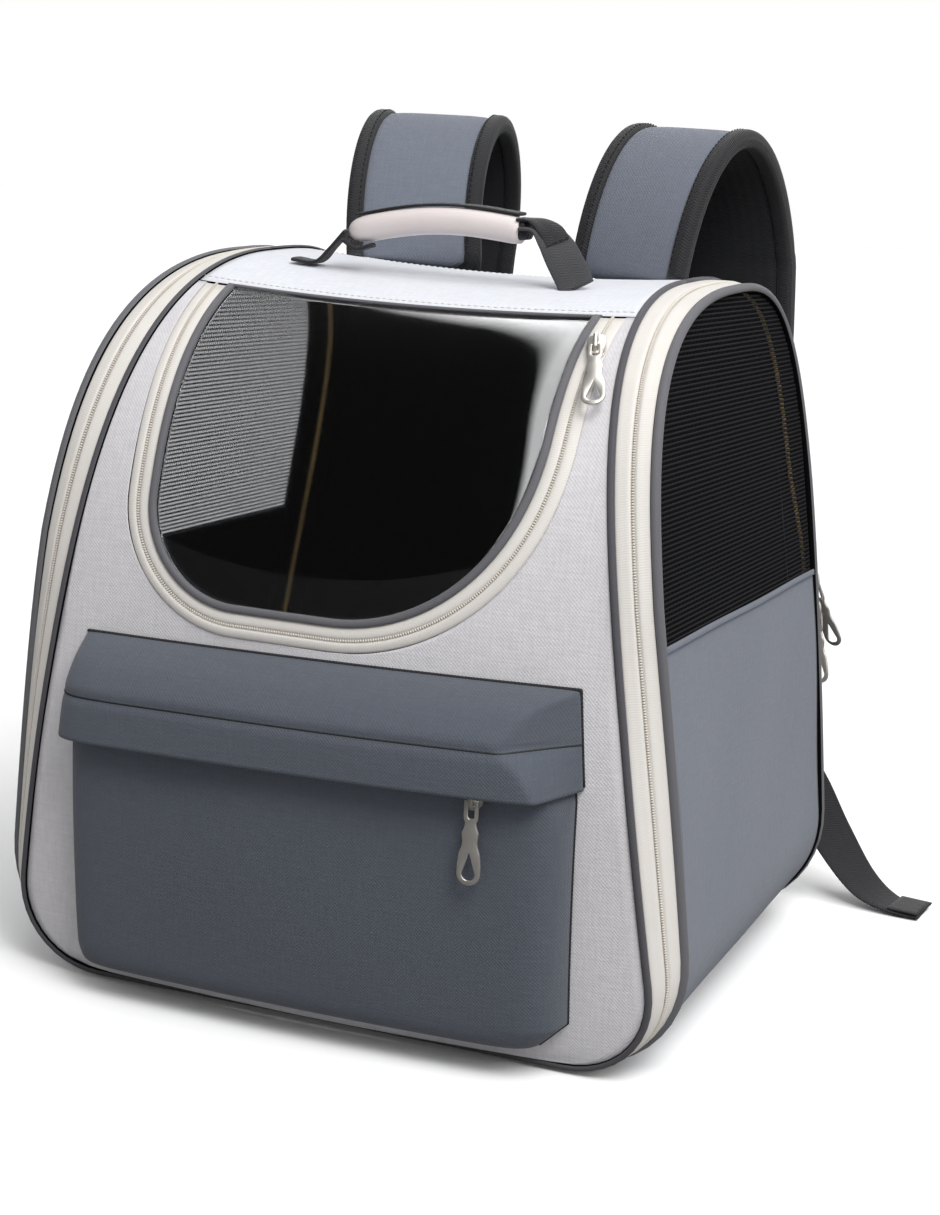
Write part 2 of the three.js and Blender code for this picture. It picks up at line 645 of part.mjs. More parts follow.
/** A shoulder strap with its two bound edges, adjuster, lower webbing and loose end. */
function addStrap(suffix, side) {
  const { core, coreWall, edge, edgeWall } = STRAP;
  const { points, widths } = strapPath(side);
  const middle = { width: core, wall: coreWall, chamfer: 2 };
  addPiece(`shoulder_strap_${suffix}`, paddedBand(points, widths, middle), "slate");
  for (const [place, k] of [["inner", -side], ["outer", side]]) {
    const binding = { width: edge, wall: edgeWall, shift: k * ((core + edge) / 2 + GAP), chamfer: 1.5 };
    addPiece(`strap_binding_${suffix}_${place}`, paddedBand(points, widths, binding), "black");
  }
  const buckle = addPiece(`strap_adjuster_${suffix}`, adjuster(), "black");
  buckle.position.set(side * ADJUSTER.x, ADJUSTER.y, ADJUSTER.z);
  const lower = pathWithTurns(LOWER_WEBBING, side);
  const strip = (path, directions) => webbing(path, directions, WEBBING.width, WEBBING.wall);
  addPiece(`lower_webbing_${suffix}`, strip(lower.points, lower.widths), "black");
  const tail = TAIL.map(({ x, y, z }) => new THREE.Vector3(side * x, y, z));
  const lay = TAIL.map(({ wx, wy, wz }) => new THREE.Vector3(side * wx, wy, wz));
  addPiece(`strap_tail_${suffix}`, strip(tail, lay), "black");
}

// Zip sliders: X across the zip, Y up along it and Z away from the cloth

/** A slider's body with the bridge that its pull hangs on. */
function slider() {
  const { length, width, height, chamfer } = SLIDER;
  const end = length / 2;
  const half = width / 2;
  const body = new THREE.Shape();
  body.moveTo(-half, end - chamfer);
  body.lineTo(-half, -end + chamfer);
  body.lineTo(-half + chamfer, -end);
  body.lineTo(half - chamfer, -end);
  body.lineTo(half, -end + chamfer);
  body.lineTo(half, end - chamfer);
  body.lineTo(half - chamfer, end);
  body.lineTo(-half + chamfer, end);
  const block = new THREE.ExtrudeGeometry(body, { depth: height, bevelEnabled: false });
  const { rise, wall, sunk } = BRIDGE;
  const foot = BRIDGE.length / 2;
  const arch = new THREE.Shape();
  arch.moveTo(-foot, -sunk);
  arch.lineTo(-foot + wall, -sunk);
  arch.lineTo(-foot + wall, rise - wall);
  arch.lineTo(foot - wall, rise - wall);
  arch.lineTo(foot - wall, -sunk);
  arch.lineTo(foot, -sunk);
  arch.lineTo(foot, rise - wall);
  arch.lineTo(foot - wall, rise);
  arch.lineTo(-foot + wall, rise);
  arch.lineTo(-foot, rise - wall);
  const bridge = new THREE.ExtrudeGeometry(arch, { depth: BRIDGE.width, bevelEnabled: false });
  bridge.translate(0, 0, -BRIDGE.width / 2).rotateY(Math.PI / 2).rotateX(Math.PI / 2).translate(0, 0, height);
  return geometryOf(solidOf(block).add(solidOf(bridge)));
}

/** A pull that hangs down from its bar, with a slot for the bridge and a drop-shaped hole in its end. */
function pull() {
  const { bar, wall, head, slot, slotLength, half, length } = PULL;
  const outline = new THREE.Shape();
  outline.moveTo(-head, bar);
  outline.lineTo(-head, -slotLength - 2);
  outline.lineTo(-half + 0.8, -slotLength - 6);
  outline.lineTo(-half, -length + half + 4);
  outline.absarc(0, -length + half, half, Math.PI, 2 * Math.PI);
  outline.lineTo(half, -length + half + 4);
  outline.lineTo(half - 0.8, -slotLength - 6);
  outline.lineTo(head, -slotLength - 2);
  outline.lineTo(head, bar);
  const opening = new THREE.Path();
  opening.moveTo(-slot, -bar);
  opening.lineTo(slot, -bar);
  opening.lineTo(slot, -slotLength);
  opening.lineTo(-slot, -slotLength);
  const drop = new THREE.Path();
  drop.moveTo(0, -PULL_HOLE.from);
  drop.absarc(0, -length + half, PULL_HOLE.half, Math.PI, 2 * Math.PI);
  drop.lineTo(0, -PULL_HOLE.from);
  outline.holes = [opening, drop];
  const plate = new THREE.ExtrudeGeometry(outline, { depth: wall, curveSegments: 4, bevelEnabled: false });
  return plate.translate(0, 0, -wall / 2);
}

/** A plain slider with its tab in one piece. */
function plainSlider() {
  const tab = pull().translate(0, PULL_SEAT.y, SLIDER.height + 0.3);
  return geometryOf(solidOf(slider()).add(solidOf(tab)));
}

/** Puts a slider on the cloth at a point and its pull on the slider's bridge, or both as one plain piece. */
function addSlider(name, point, outwards, upwards, lift, { plain = false, lean = 0 } = {}) {
  const z = outwards.clone().normalize();
  const y = upwards.clone().addScaledVector(z, -upwards.dot(z)).normalize();
  const frame = new THREE.Matrix4().makeBasis(y.clone().cross(z), y, z);
  const seat = point.clone().addScaledVector(z, lift);
  const body = plain ? plainSlider() : slider();
  addPiece(`${name}_slider`, body, "metal").applyMatrix4(frame.clone().setPosition(seat));
  if (plain) return;
  const bar = seat.clone().addScaledVector(y, PULL_SEAT.y).addScaledVector(z, SLIDER.height + PULL_SEAT.z);
  addPiece(`${name}_pull`, pull().rotateX(-lean), "metal").applyMatrix4(frame.clone().setPosition(bar));
}

/** The slider at the top of the window's zip and the one under the pocket's flap. */
function addFrontSliders() {
  const along = (x, z, depth) => {
    const step = 2;
    const above = before(x, z + step, depth);
    const below = before(x, z - step, depth);
    const aside = before(x + step, z, depth).sub(before(x - step, z, depth));
    const upwards = above.sub(below);
    return { upwards, outwards: aside.cross(upwards) };
  };
  const window = along(WINDOW_SLIDER.x, WINDOW_SLIDER.z, 0);
  const onZip = before(WINDOW_SLIDER.x, WINDOW_SLIDER.z, 0);
  window.upwards.applyAxisAngle(window.outwards.normalize(), WINDOW_SLIDER.turn);
  addSlider("window", onZip, window.outwards, window.upwards, WINDOW_SLIDER.lift, WINDOW_SLIDER);
  const face = POCKET.standOff + POCKET.depth;
  const pocket = along(POCKET_SLIDER.x, POCKET_SLIDER.z, face);
  const onPocket = before(POCKET_SLIDER.x, POCKET_SLIDER.z, face);
  addSlider("pocket", onPocket, pocket.outwards, pocket.upwards, POCKET_SLIDER.lift);
}

/** A slider on the back of a side's zip band. */
function addBandSlider(name, side, height, options) {
  const middle = (z) => {
    const inner = new THREE.Vector3(side * edgeX(PANEL_EDGE, z), edgeY(PANEL_EDGE, "back", z), z);
    const outer = new THREE.Vector3(side * edgeX(SIDE_EDGE, z), edgeY(SIDE_EDGE, "back", z), z);
    return { point: inner.clone().lerp(outer, 0.5), across: outer.sub(inner) };
  };
  const upwards = middle(height + 3).point.sub(middle(height - 3).point);
  const { point, across } = middle(height);
  const outwards = across.cross(upwards).multiplyScalar(-side);
  addSlider(name, point, outwards, upwards, BAND_SLIDER.lift + BAND_SWELL.height, options);
}

addFront();
addTopAndBack();
addBand("zip_band_left", -1);
addBand("zip_band_right", 1);
addSide("left", -1);
addSide("right", 1);
addBase();
addPipings();
addPocket();
addHandle();
addStrap("left", -1);
addStrap("right", 1);
addFrontSliders();
addBandSlider("band_upper", 1, BAND_SLIDER.upper, { lean: UPPER_PULL_LEAN });
addBandSlider("band_lower", 1, BAND_SLIDER.lower);
addBandSlider("band_left", -1, BAND_SLIDER.upper, { plain: true });

export default bag;
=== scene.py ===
"""Looks of a pet carrier backpack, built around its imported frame."""

import bmesh
import bpy
import numpy as np
from bpy.props import FloatProperty, FloatVectorProperty, IntProperty, PointerProperty
from mathutils import Matrix, Vector


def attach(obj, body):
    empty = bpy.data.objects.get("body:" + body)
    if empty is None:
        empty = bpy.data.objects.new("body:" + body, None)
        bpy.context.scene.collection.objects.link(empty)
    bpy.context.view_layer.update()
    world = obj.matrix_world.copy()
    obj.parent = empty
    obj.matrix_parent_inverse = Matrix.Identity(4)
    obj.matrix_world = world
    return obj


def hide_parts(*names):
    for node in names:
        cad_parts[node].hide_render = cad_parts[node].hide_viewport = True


bl_info = {
    "name": "Pet carrier backpack",
    "version": (1, 0, 0),
    "blender": (4, 5, 0),
    "location": "View3D > Sidebar > Carrier",
    "description": "Builds the cloth, zips, net, window and straps of a pet carrier backpack",
    "category": "Object",
}

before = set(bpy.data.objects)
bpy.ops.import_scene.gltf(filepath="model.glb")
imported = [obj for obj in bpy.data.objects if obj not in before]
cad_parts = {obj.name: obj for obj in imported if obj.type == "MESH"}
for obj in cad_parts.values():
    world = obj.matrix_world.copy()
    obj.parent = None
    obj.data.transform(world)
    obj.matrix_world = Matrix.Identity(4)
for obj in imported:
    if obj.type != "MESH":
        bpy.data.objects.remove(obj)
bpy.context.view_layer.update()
MM = 0.001
SIDES = {"left": -1, "right": 1}
FACES = ("front", "back")
X_AXIS, Y_AXIS, Z_AXIS = np.eye(3)

# Shape of the bag in millimetres, as the frame has it: x right, y back, z up.
# In side view each edge leans out from the floor and closes in an arch; in front view it tapers upwards.
PANEL = {
    "apex": 6, "top": 339, "bottom": 3, "half": 162.5, "taper": 0.1615, "belly": 2.3, "corner": 45,
    "front": {"y": -143.7, "rise": 5.7, "turn": 2.4, "lean": 12, "lean_top": 150, "power": 2},
    "back": {"y": 139, "rise": 9, "turn": 3.16, "lean": 10, "lean_top": 230, "power": 1},
}
SIDE = {
    "apex": 13.7, "top": 336.7, "bottom": 2.7, "half": 173.3, "taper": 0.133, "belly": 3.5, "corner": 58,
    "front": {"y": -137.1, "rise": 7.2, "turn": 2.38, "lean": 17, "lean_top": 215, "power": 1},
    "back": {"y": 131, "rise": 9, "turn": 3.16, "lean": 10, "lean_top": 230, "power": 1},
}
ARCH_FROM = 200
BAG_MIDDLE = np.array([0.0, 0.0, 150.0])
# The panels swell in their middle, apart from a strip along their edges, and sag at the ridge
CROWN = 6
CROWN_INSET = 3.0
SAG = 5
# Radii of the pipings, how far the cloth stops short of their middle, and the heights of the other seams
PIPING = {"panel": 1.7, "side": 2.3}
SEAM = 1.3
SIDE_SEAM = 2.0
WINDOW_SEAM = 328
RIDGE_SEAM = 335.8
NET_SEAM = (197, 187)
WINDOW = {"half": 92.5, "bottom": 190.5, "corner": {-1: 48, 1: 90}, "binding": 4, "zip": 11}
# Zip tapes: how far across they lie, from the window's outline or as a share of the band, and how high
WINDOW_TAPE = (
    (-0.8, -0.4), (0.5, 0.8), (2.2, 1.1), (3.8, 1.3), (4.5, 1.0), (5.1, 0.4), (5.6, 0.3),
    (6.1, 0.4), (6.7, 1.0), (7.4, 1.3), (8.6, 1.1), (10.1, 0.9), (11.0, 0.2), (11.7, -1.1),
)
BAND_TAPE = (
    (0, 0), (0.06, 0.5), (0.16, 0.8), (0.3, 1.0), (0.38, 1.3), (0.42, 1.1), (0.455, 0.4), (0.5, 0.3),
    (0.545, 0.4), (0.58, 1.1), (0.62, 1.3), (0.7, 1.0), (0.84, 0.8), (0.94, 0.5), (1, 0),
)
TEETH_COLUMN = {"window": 6, "band": 7}
TAPE_WALL = 1.4
TOOTH_HEIGHT = 1.3
STITCH_SECTION = (0.7, 0.6)
# The film: how far it is tucked under its binding and sunk, its swell at the foot, and how soon it rises
FILM = {"tuck": 1.2, "sunk": 0.6, "foot": 1.2, "left": 16, "right": 20, "top": 14}
FILM_TINT = (0.93, 0.94, 0.96, 1)
POCKET = {
    "half": 120.5, "bottom": 13, "top": 166, "depth": 22.6, "wall": 1.4,
    "chamfer": 13, "narrows_from": 130, "narrows": 0.18,
}
FLAP = {"half": 123.5, "low": 132, "crease": 152, "narrows": 0.1, "tilt": 2.5, "wall": 1.8}
FLAP_SECTION = ((175, 0.6), (172.5, 11), (167, 22), (159, 29.5), (153, 32), (143, 32.8), (132, 33))
LEAST_DEPTH = 0.6
# The pocket's right end, which is pressed in aslant, most of all from this height upwards
PRESSED = {"from": 153, "slope": 1.1, "opens": 0.07, "edge": 2.6, "cover": 2.4, "play": 0.8}
HANDLE_Y = -20
GRIP = {"from": (-51, 353), "to": (36, 359), "rise": 5, "radius": 7.2}
STRAP_ARCH = {"y": 132, "z": 334, "depth": 57, "height": 70, "x": (58, 82), "turn": (20, 11)}
STRAP_RUN = ((84, 186, 296, 9), (87, 178, 245, 7), (90, 170, 195, 5), (93, 163, 140, 3))
STRAP = {"core": 52, "pad": 8, "edge": 9, "roll": 10, "foot": 0.6}
PAD_CLOTH = {
    "quality": 5, "mass": 0.3, "tension_stiffness": 15, "compression_stiffness": 15,
    "use_pressure": True, "uniform_pressure_force": 4,
}
WEBBING = (25, 1.8)
ADJUSTER = {"x": 94, "y": 161.5, "z": 124.6, "width": 33, "height": 26, "bar": 3.5, "wall": 4}
LOWER_WEBBING = (
    (94.2, 161, 109.8), (95, 159, 102), (101, 153, 82), (112, 145, 56), (122, 137.5, 38), (126, 134.7, 26),
)
# Places along a loose end, each with the direction of its width
TAIL = (
    (95, 165.4, 122, 1, 0, 0), (102, 168, 105, 0.95, 0.1, 0.28), (122, 171, 86, 0.8, 0.3, 0.5),
    (146, 170, 62, 0.6, 0.52, 0.6), (165, 166, 35, 0.45, 0.72, 0.5), (185, 162, 12, 0.25, 0.92, 0.3),
    (203, 160, 2.6, 0.06, 1, 0.04), (220, 159, 1.1, 0, 1, 0),
)
# Zip sliders: their places on the front or on a band, and their outlines and those of their pulls
FRONT_SLIDERS = {"window": (99.35, 315.25, 0, 0.4, np.radians(15)), "pocket": (84, 133, 22.6, 0.4, 0)}
BAND_SLIDERS = {"band_upper": (1, 177), "band_lower": (1, 162), "band_left": (-1, 177)}
BAND_SWELL = {"z": 172, "reach": 48, "height": 6}
BAND_SLIDER_LIFT = 1.7
SLIDER = {"half_width": 4.5, "half_length": 6.5, "height": 3.6, "flare": 0.12}
SLIDER_PLATES = ((0.55, 1.1), (SLIDER["height"] - 0.65, 1.3))
BRIDGE = (
    (-4.4, -0.3), (-4.3, 1.4), (-3.4, 2.6), (-1.5, 2.8), (1.5, 2.8), (3.4, 2.6), (4.3, 1.4), (4.4, -0.3),
)
PULL_SEAT = (-1.8, 1.15)
PULL_LEAN = {"window": np.radians(-4), "band_upper": np.radians(22)}
PULL_SIDE = (
    (3.2, 0.75), (3.2, -7), (2.5, -9.5), (3.0, -12), (3.7, -14),
    (3.3, -17.5), (3.6, -20), (4.6, -23), (5.2, -28),
)
PULL_SLOT = ((-1.5, -0.75), (1.5, -0.75), (1.5, -6.8), (0.8, -7.5), (-0.8, -7.5), (-1.5, -6.8))
PULL_END = {"y": -31.8, "rim": 5.2, "hole": 3, "hole_top": -22.4}
# Studio: a soft key light from the right, and walls that mirror dark on the left, a bright band and white
KEY = {"from": (0.52, -0.27, 0.86), "power": 2.0, "angle": 0.9}
FILL = {"place": (0.6, -0.75, 1.05), "aim": (0.1, -0.1, 0.25), "size": 0.45, "power": 8}
SKY = {"light": 0.55, "dark": 0.03, "band": 4.5, "white": 1.0}
BAND = {"across": (1.0, 0.25, 0.0), "starts": (-0.235, -0.195), "ends": (0.0, 0.25)}
FLOOR = {"half": 6000, "z": -0.4, "light": 0.42, "through_film": 0.55, "mirrored": 0.03}
# The photograph's viewpoint: turned to the right of the front, a little above it, slightly rolled
CAMERA = {
    "place": (0.42602, -1.07205, 0.42615), "yaw": 0.369, "pitch": 0.217, "roll": -0.05,
    "sensor": 36, "focal_pixels": 2385.9, "picture_pixels": 1215,
}


def linear(red, green, blue):
    """A colour as the shaders take it, from values of 0 to 255 as a screen shows them."""
    share = np.array([red, green, blue]) / 255
    return tuple(np.where(share > 0.04045, ((share + 0.055) / 1.055) ** 2.4, share / 12.92).tolist())


def length_property(label, text, size):
    return FloatProperty(name=label, description=text, default=size * MM, min=0, unit="LENGTH", precision=4)


def colour_property(label, text, *rgb):
    return FloatVectorProperty(
        name=label, description=text, default=linear(*rgb), subtype="COLOR", size=3, min=0, max=1
    )


class CarrierSizes(bpy.types.PropertyGroup):
    """Sizes of the carrier's cloth, zips, net and stitches."""

    thread: length_property("Thread", "Pitch of the woven cloth", 1.7)
    cloth_wall: length_property("Cloth", "Wall of a panel", 2)
    film_wall: length_property("Film", "Wall of the clear window", 0.6)
    film_swell: length_property("Film swell", "How far the window stands out in its middle", 6)
    coil_pitch: length_property("Coil pitch", "Distance between the teeth of a zip", 1.2)
    coil_width: length_property("Coil width", "Width of a zip's row of teeth", 1.6)
    net_pitch: length_property("Net pitch", "Distance between the strands of the net", 2.1)
    net_row: length_property("Net row", "Width of the net's strands from front to back", 0.9)
    net_column: length_property("Net column", "Width of the net's upright strands", 0.4)
    net_wall: length_property("Net wall", "Thickness of the net's strands", 0.16)
    stitch_pitch: length_property("Stitch pitch", "Distance between stitches", 3.2)
    stitch_length: length_property("Stitch length", "Length of a stitch", 2.3)
    pad_swell: length_property("Pad swell", "Most that a strap's pad may swell", 1.6)
    pad_frames: IntProperty(
        name="Pad frames", description="Frames of the pad's simulation", default=20, min=2
    )


class CarrierColours(bpy.types.PropertyGroup):
    """Colours of the carrier's finishes."""

    light: colour_property("Light cloth", "Front panel", 191, 189, 192)
    white: colour_property("White cloth", "Strip over the ridge", 203, 205, 211)
    slate: colour_property("Slate cloth", "Sides, back and straps", 99, 104, 115)
    # The pocket and flap are the slate cloth; this darker colour is painted shade, as they lie in less light
    # than the sides
    pocket: colour_property("Pocket cloth", "Pocket and flap", 71, 76, 85)
    cream: colour_property("Zip tape", "Zip bands and window zip", 203, 199, 194)
    coil: colour_property("Zip coil", "Teeth of the zips", 198, 192, 182)
    brass: colour_property("Inner coil", "Zip teeth seen from the inside", 240, 204, 136)
    piping: colour_property("Piping", "Piped edges of the sides and window binding", 96, 96, 100)
    edge: colour_property("Dark piping", "Piped edges of the panels", 74, 73, 78)
    black: colour_property("Black webbing", "Webbing, strap edges and net", 24, 24, 27)
    grey: colour_property("Grey webbing", "Handle's right end", 60, 60, 63)
    # Near-black, darker than any cloth: painted shade for the inside of the bag, its inner faces and cut
    # rims; the flap's crease thread shares it
    lining: colour_property("Inside", "Inner face of the cloth", 5, 5, 5)
    grip: colour_property("Grip", "Leatherette of the handle", 204, 195, 194)
    metal: colour_property("Metal", "Zip sliders and pulls", 196, 192, 186)
    floor: colour_property("Floor", "Floor of the stage", 255, 255, 255)


def sizes():
    return bpy.context.scene.carrier_sizes


def colour(key):
    return (*getattr(bpy.context.scene.carrier_colours, key), 1)


# Outlines of the bag


def between(first, last, share):
    return first + (last - first) * share


def quarter(count):
    """Shares from 0 to 1 along a line that curves away like a rounded corner."""
    return 1 - np.cos(np.linspace(0, np.pi / 2, count))


def edge_x(edge, z, inset=0):
    """Half the width of an edge at a height, with its rounded bottom corner."""
    wide = edge["half"] - edge["taper"] * z + edge["belly"] * np.sin(np.pi * z / edge["top"]) - inset
    radius = edge["corner"] - inset
    below = np.clip(radius - (z - edge["bottom"] - inset), 0, radius)
    return wide - radius + np.sqrt(radius**2 - below**2)


def edge_y(edge, face, z, inset=0):
    """Depth of an edge at a height, on the front or the back."""
    form = edge[face]
    out = np.sign(form["y"])
    share = np.clip(z / (edge["top"] - inset), 0, 1)
    arch = (1 - share ** form["rise"]) ** (1 / form["turn"])
    leaning = form["lean"] * np.maximum(0, 1 - z / form["lean_top"]) ** form["power"]
    return edge["apex"] + (form["y"] - out * inset - edge["apex"]) * arch - out * leaning


def edge_heights(edge, face, inset=0.0, to=None, arch=34):
    """Heights along an edge: through the rounded corner, up the wall and round the arch."""
    low = edge["bottom"] + inset
    radius = edge["corner"] - inset
    rise = edge[face]["rise"]
    limits = np.array([ARCH_FROM, to or edge["top"]]) / edge["top"]
    first, last = np.arcsin(limits ** (rise / 2))
    bend = low + radius * quarter(12)
    straight = np.linspace(low + radius, ARCH_FROM, 12)[1:]
    arched = edge["top"] * np.sin(np.linspace(first, last, arch)) ** (2 / rise)
    return np.concatenate([bend, straight, arched[1:]])


def panel_point(face, u, z):
    """Points of the front or back panel: u runs from -1 on the left edge to 1 on the right one."""
    u, z = np.broadcast_arrays(np.asarray(u, float), np.asarray(z, float))
    x = u * edge_x(PANEL, z, SEAM)
    bulge = 1 - np.minimum(1, x / edge_x(PANEL, z, CROWN_INSET)) ** 2
    share = z / PANEL["top"]
    swell = np.sign(PANEL[face]["y"]) * CROWN * bulge * (1 - share**4)
    drop = SAG * bulge * share**12
    return np.stack([x, edge_y(PANEL, face, z) + swell, z - drop], -1)


def front_point(x, z, depth=0.0):
    """Points in front of the front panel by a depth."""
    x, z, depth = np.broadcast_arrays(*(np.asarray(each, float) for each in (x, z, depth)))
    points = panel_point("front", x / edge_x(PANEL, z, SEAM), z)
    points[..., 1] -= depth
    return points


def ridge_z(x, y):
    """Height of the panels near the ridge at a place given by x and y."""
    face = "front" if y < PANEL["apex"] else "back"
    form = PANEL[face]
    share = (y - PANEL["apex"]) / (form["y"] - PANEL["apex"])
    z = PANEL["top"] * (1 - share ** form["turn"]) ** (1 / form["rise"])
    return panel_point(face, x / edge_x(PANEL, z, SEAM), z)[2]


def edge_path(edge, side):
    """The points of an edge on one side, from the middle of the front's bottom round to the back's."""
    runs = []
    for face in FACES:
        z = edge_heights(edge, face)
        x = edge_x(edge, z)
        under = np.linspace(0.3, x[0], 16)[:-1]
        x = np.concatenate([under, x])
        z = np.concatenate([np.full(len(under), z[0]), z])
        runs.append(np.stack([side * x, edge_y(edge, face, z), z], -1))
    return np.concatenate([runs[0], runs[1][-2::-1]])


def side_point(side, across, z):
    """Points of a side panel at a share of the way from its front edge to its back edge."""
    front, back = (edge_y(SIDE, face, z, SIDE_SEAM + 0.2) for face in FACES)
    return np.stack([side * edge_x(SIDE, z), between(front, back, across), z], -1)


def window_side(side, z, margin):
    """The x of one side of the window's outline, grown by a margin, at a height."""
    corner = WINDOW["corner"][side] + margin
    below = np.clip(WINDOW["bottom"] - margin + corner - z, 0, corner)
    return side * (WINDOW["half"] + margin - corner + np.sqrt(corner**2 - below**2))


def window_path(margin):
    """The window's outline grown by a margin, as x and z from its top left round to its top right."""
    legs = []
    for side in SIDES.values():
        corner = WINDOW["corner"][side]
        middle = np.array([side * (WINDOW["half"] - corner), WINDOW["bottom"] + corner])
        turn = np.linspace(0, np.pi / 2, 24)
        arc = middle + (corner + margin) * np.stack([side * np.cos(turn), -np.sin(turn)], -1)
        z = np.linspace(WINDOW_SEAM - 0.3, middle[1], 26)[:-1]
        wall = np.stack([np.full(len(z), side * (WINDOW["half"] + margin)), z], -1)
        legs.append(np.concatenate([wall, arc]))
    left, right = legs
    base = between(left[-1], right[-1], np.linspace(0, 1, 10)[1:-1, None])
    return np.concatenate([left, base, right[::-1]])


# Meshes


def distances(points):
    """How far along a path each of its points lies."""
    return np.concatenate([[0], np.cumsum(np.linalg.norm(np.diff(points, axis=0), axis=-1))])


def smooth_path(points, count):
    """A smooth curve through points, with its new points evenly spaced along it."""
    points = np.asarray(points, float)
    ends = np.vstack([2 * points[0] - points[1], points, 2 * points[-1] - points[-2]])
    t = np.linspace(0, 1, 24, endpoint=False)[:, None]
    parts = []
    for a, b, c, d in zip(ends[:-3], ends[1:-2], ends[2:-1], ends[3:]):
        bend = (2 * a - 5 * b + 4 * c - d) * t**2 + (3 * b - a - 3 * c + d) * t**3
        parts.append(0.5 * (2 * b + (c - a) * t + bend))
    fine = np.vstack([*parts, points[-1:]])
    run = distances(fine[:, :3])
    return np.stack([np.interp(np.linspace(0, run[-1], count), run, column) for column in fine.T], -1)


def unit(vectors):
    return vectors / np.maximum(np.linalg.norm(vectors, axis=-1, keepdims=True), 1e-9)


def grid_normals(grid):
    """Normals of a grid of points, away from the middle of the bag."""
    normals = unit(np.cross(np.gradient(grid, axis=0), np.gradient(grid, axis=1)))
    outwards = np.sum(normals * (grid - BAG_MIDDLE), -1, keepdims=True)
    return np.where(outwards < 0, -normals, normals)


def grid_lengths(grid):
    """How far each point of a grid lies along its row, from the row's middle, and along its column."""
    steps = np.linalg.norm(np.diff(grid, axis=1), axis=-1)
    u = np.concatenate([np.zeros((len(grid), 1)), np.cumsum(steps, axis=1)], axis=1)
    u -= u[:, -1:] / 2
    v = distances(grid[:, grid.shape[1] // 2])
    return np.stack([u, np.broadcast_to(v[:, None], u.shape)], -1)


def grid_faces(rows, columns, wrap=False):
    i, j = np.meshgrid(np.arange(rows - 1), np.arange(columns - (not wrap)), indexing="ij")
    k = (j + 1) % columns
    corners = [i * columns + j, i * columns + k, (i + 1) * columns + k, (i + 1) * columns + j]
    return np.stack(corners, -1).reshape(-1, 4).tolist()


def plain_object(name, data):
    piece = bpy.data.objects.new(name, data)
    bpy.context.scene.collection.objects.link(piece)
    return piece


def mesh_piece(name, points, faces, finish, uv=None):
    """An object from points in millimetres, with its cloth's own coordinates in millimetres."""
    mesh = bpy.data.meshes.new(name)
    mesh.from_pydata((np.asarray(points).reshape(-1, 3) * MM).tolist(), [], faces)
    mesh.materials.append(finish)
    if uv is not None:
        corner = np.empty(len(mesh.loops), np.int32)
        mesh.loops.foreach_get("vertex_index", corner)
        layer = mesh.uv_layers.new(name="weave")
        layer.data.foreach_set("uv", np.asarray(uv).reshape(-1, 2)[corner].astype(np.float32).ravel())
    mesh.shade_smooth()
    return plain_object(name, mesh)


def edit_mesh(mesh, *changes):
    """Takes a mesh through changes that work on its faces and corners."""
    work = bmesh.new()
    work.from_mesh(mesh)
    for change in changes:
        change(work)
    work.to_mesh(mesh)
    work.free()


def weld(distance):
    """A change that joins corners that lie within a distance."""
    return lambda work: bmesh.ops.remove_doubles(work, verts=work.verts, dist=distance)


def face_out(work):
    """Turns the faces of a closed mesh outwards."""
    bmesh.ops.recalc_face_normals(work, faces=work.faces)


def from_middle(point):
    """The way from the middle of the bag to a point of a mesh."""
    return point / MM - Vector(BAG_MIDDLE)


def face_from_middle(work):
    """Turns the faces of a sheet away from the middle of the bag."""
    faces = work.faces
    facing = sum(from_middle(f.calc_center_median()).dot(f.normal) * f.calc_area() for f in faces)
    if facing < 0:
        bmesh.ops.reverse_faces(work, faces=faces)


def thicken(piece, wall, inner="lining"):
    """Gives a sheet its wall, inwards, with another finish on the inner face; the default near-black inside
    finish is painted shade on that face and on the rims.
    """
    piece.data.materials.append(finish_of(inner))
    solid = piece.modifiers.new("wall", "SOLIDIFY")
    solid.thickness = wall * MM
    solid.offset = -1
    solid.material_offset = 1
    # With the near-black inside finish the rims take painted shade as well
    solid.material_offset_rim = 1 if inner == "lining" else 0


def cloth_wall(name, grid, finish, wall=None, inner="lining"):
    """A wall of cloth whose outer face is a grid, with another finish on its inner face."""
    piece = mesh_piece(name, grid, grid_faces(*grid.shape[:2]), finish_of(finish), grid_lengths(grid))
    edit_mesh(piece.data, face_from_middle)
    thicken(piece, wall or sizes().cloth_wall / MM, inner)
    return piece


def path_frames(points, widths=None):
    """The directions along, across and off a path. Without widths, they turn as little as they can."""
    along = unit(np.gradient(points, axis=0))
    if widths is None:
        across = np.empty_like(along)
        start = np.array([0.2, 0.9, 0.4])
        for i, direction in enumerate(along):
            start = start - direction * start.dot(direction)
            start /= np.linalg.norm(start)
            across[i] = start
    else:
        widths = np.broadcast_to(np.asarray(widths, float), along.shape)
        across = unit(widths - along * np.sum(widths * along, -1, keepdims=True))
    return along, across, np.cross(across, along)


def sweep(name, points, section, finish, widths=None, scale=None):
    """A closed body with a section of points, given across and off the path, along a path."""
    _, across, off = path_frames(points, widths)
    scale = np.ones(len(points)) if scale is None else scale
    rings = points[:, None] + scale[:, None, None] * (
        across[:, None] * section[None, :, :1] + off[:, None] * section[None, :, 1:]
    )
    rows, columns = rings.shape[:2]
    uv = np.stack(np.broadcast_arrays(distances(section)[None, :], distances(points)[:, None]), -1)
    ends = [list(range(columns)), list(range((rows - 1) * columns, rows * columns))[::-1]]
    faces = grid_faces(rows, columns, wrap=True) + ends
    piece = mesh_piece(name, rings, faces, finish_of(finish), uv)
    edit_mesh(piece.data, face_out)
    return piece


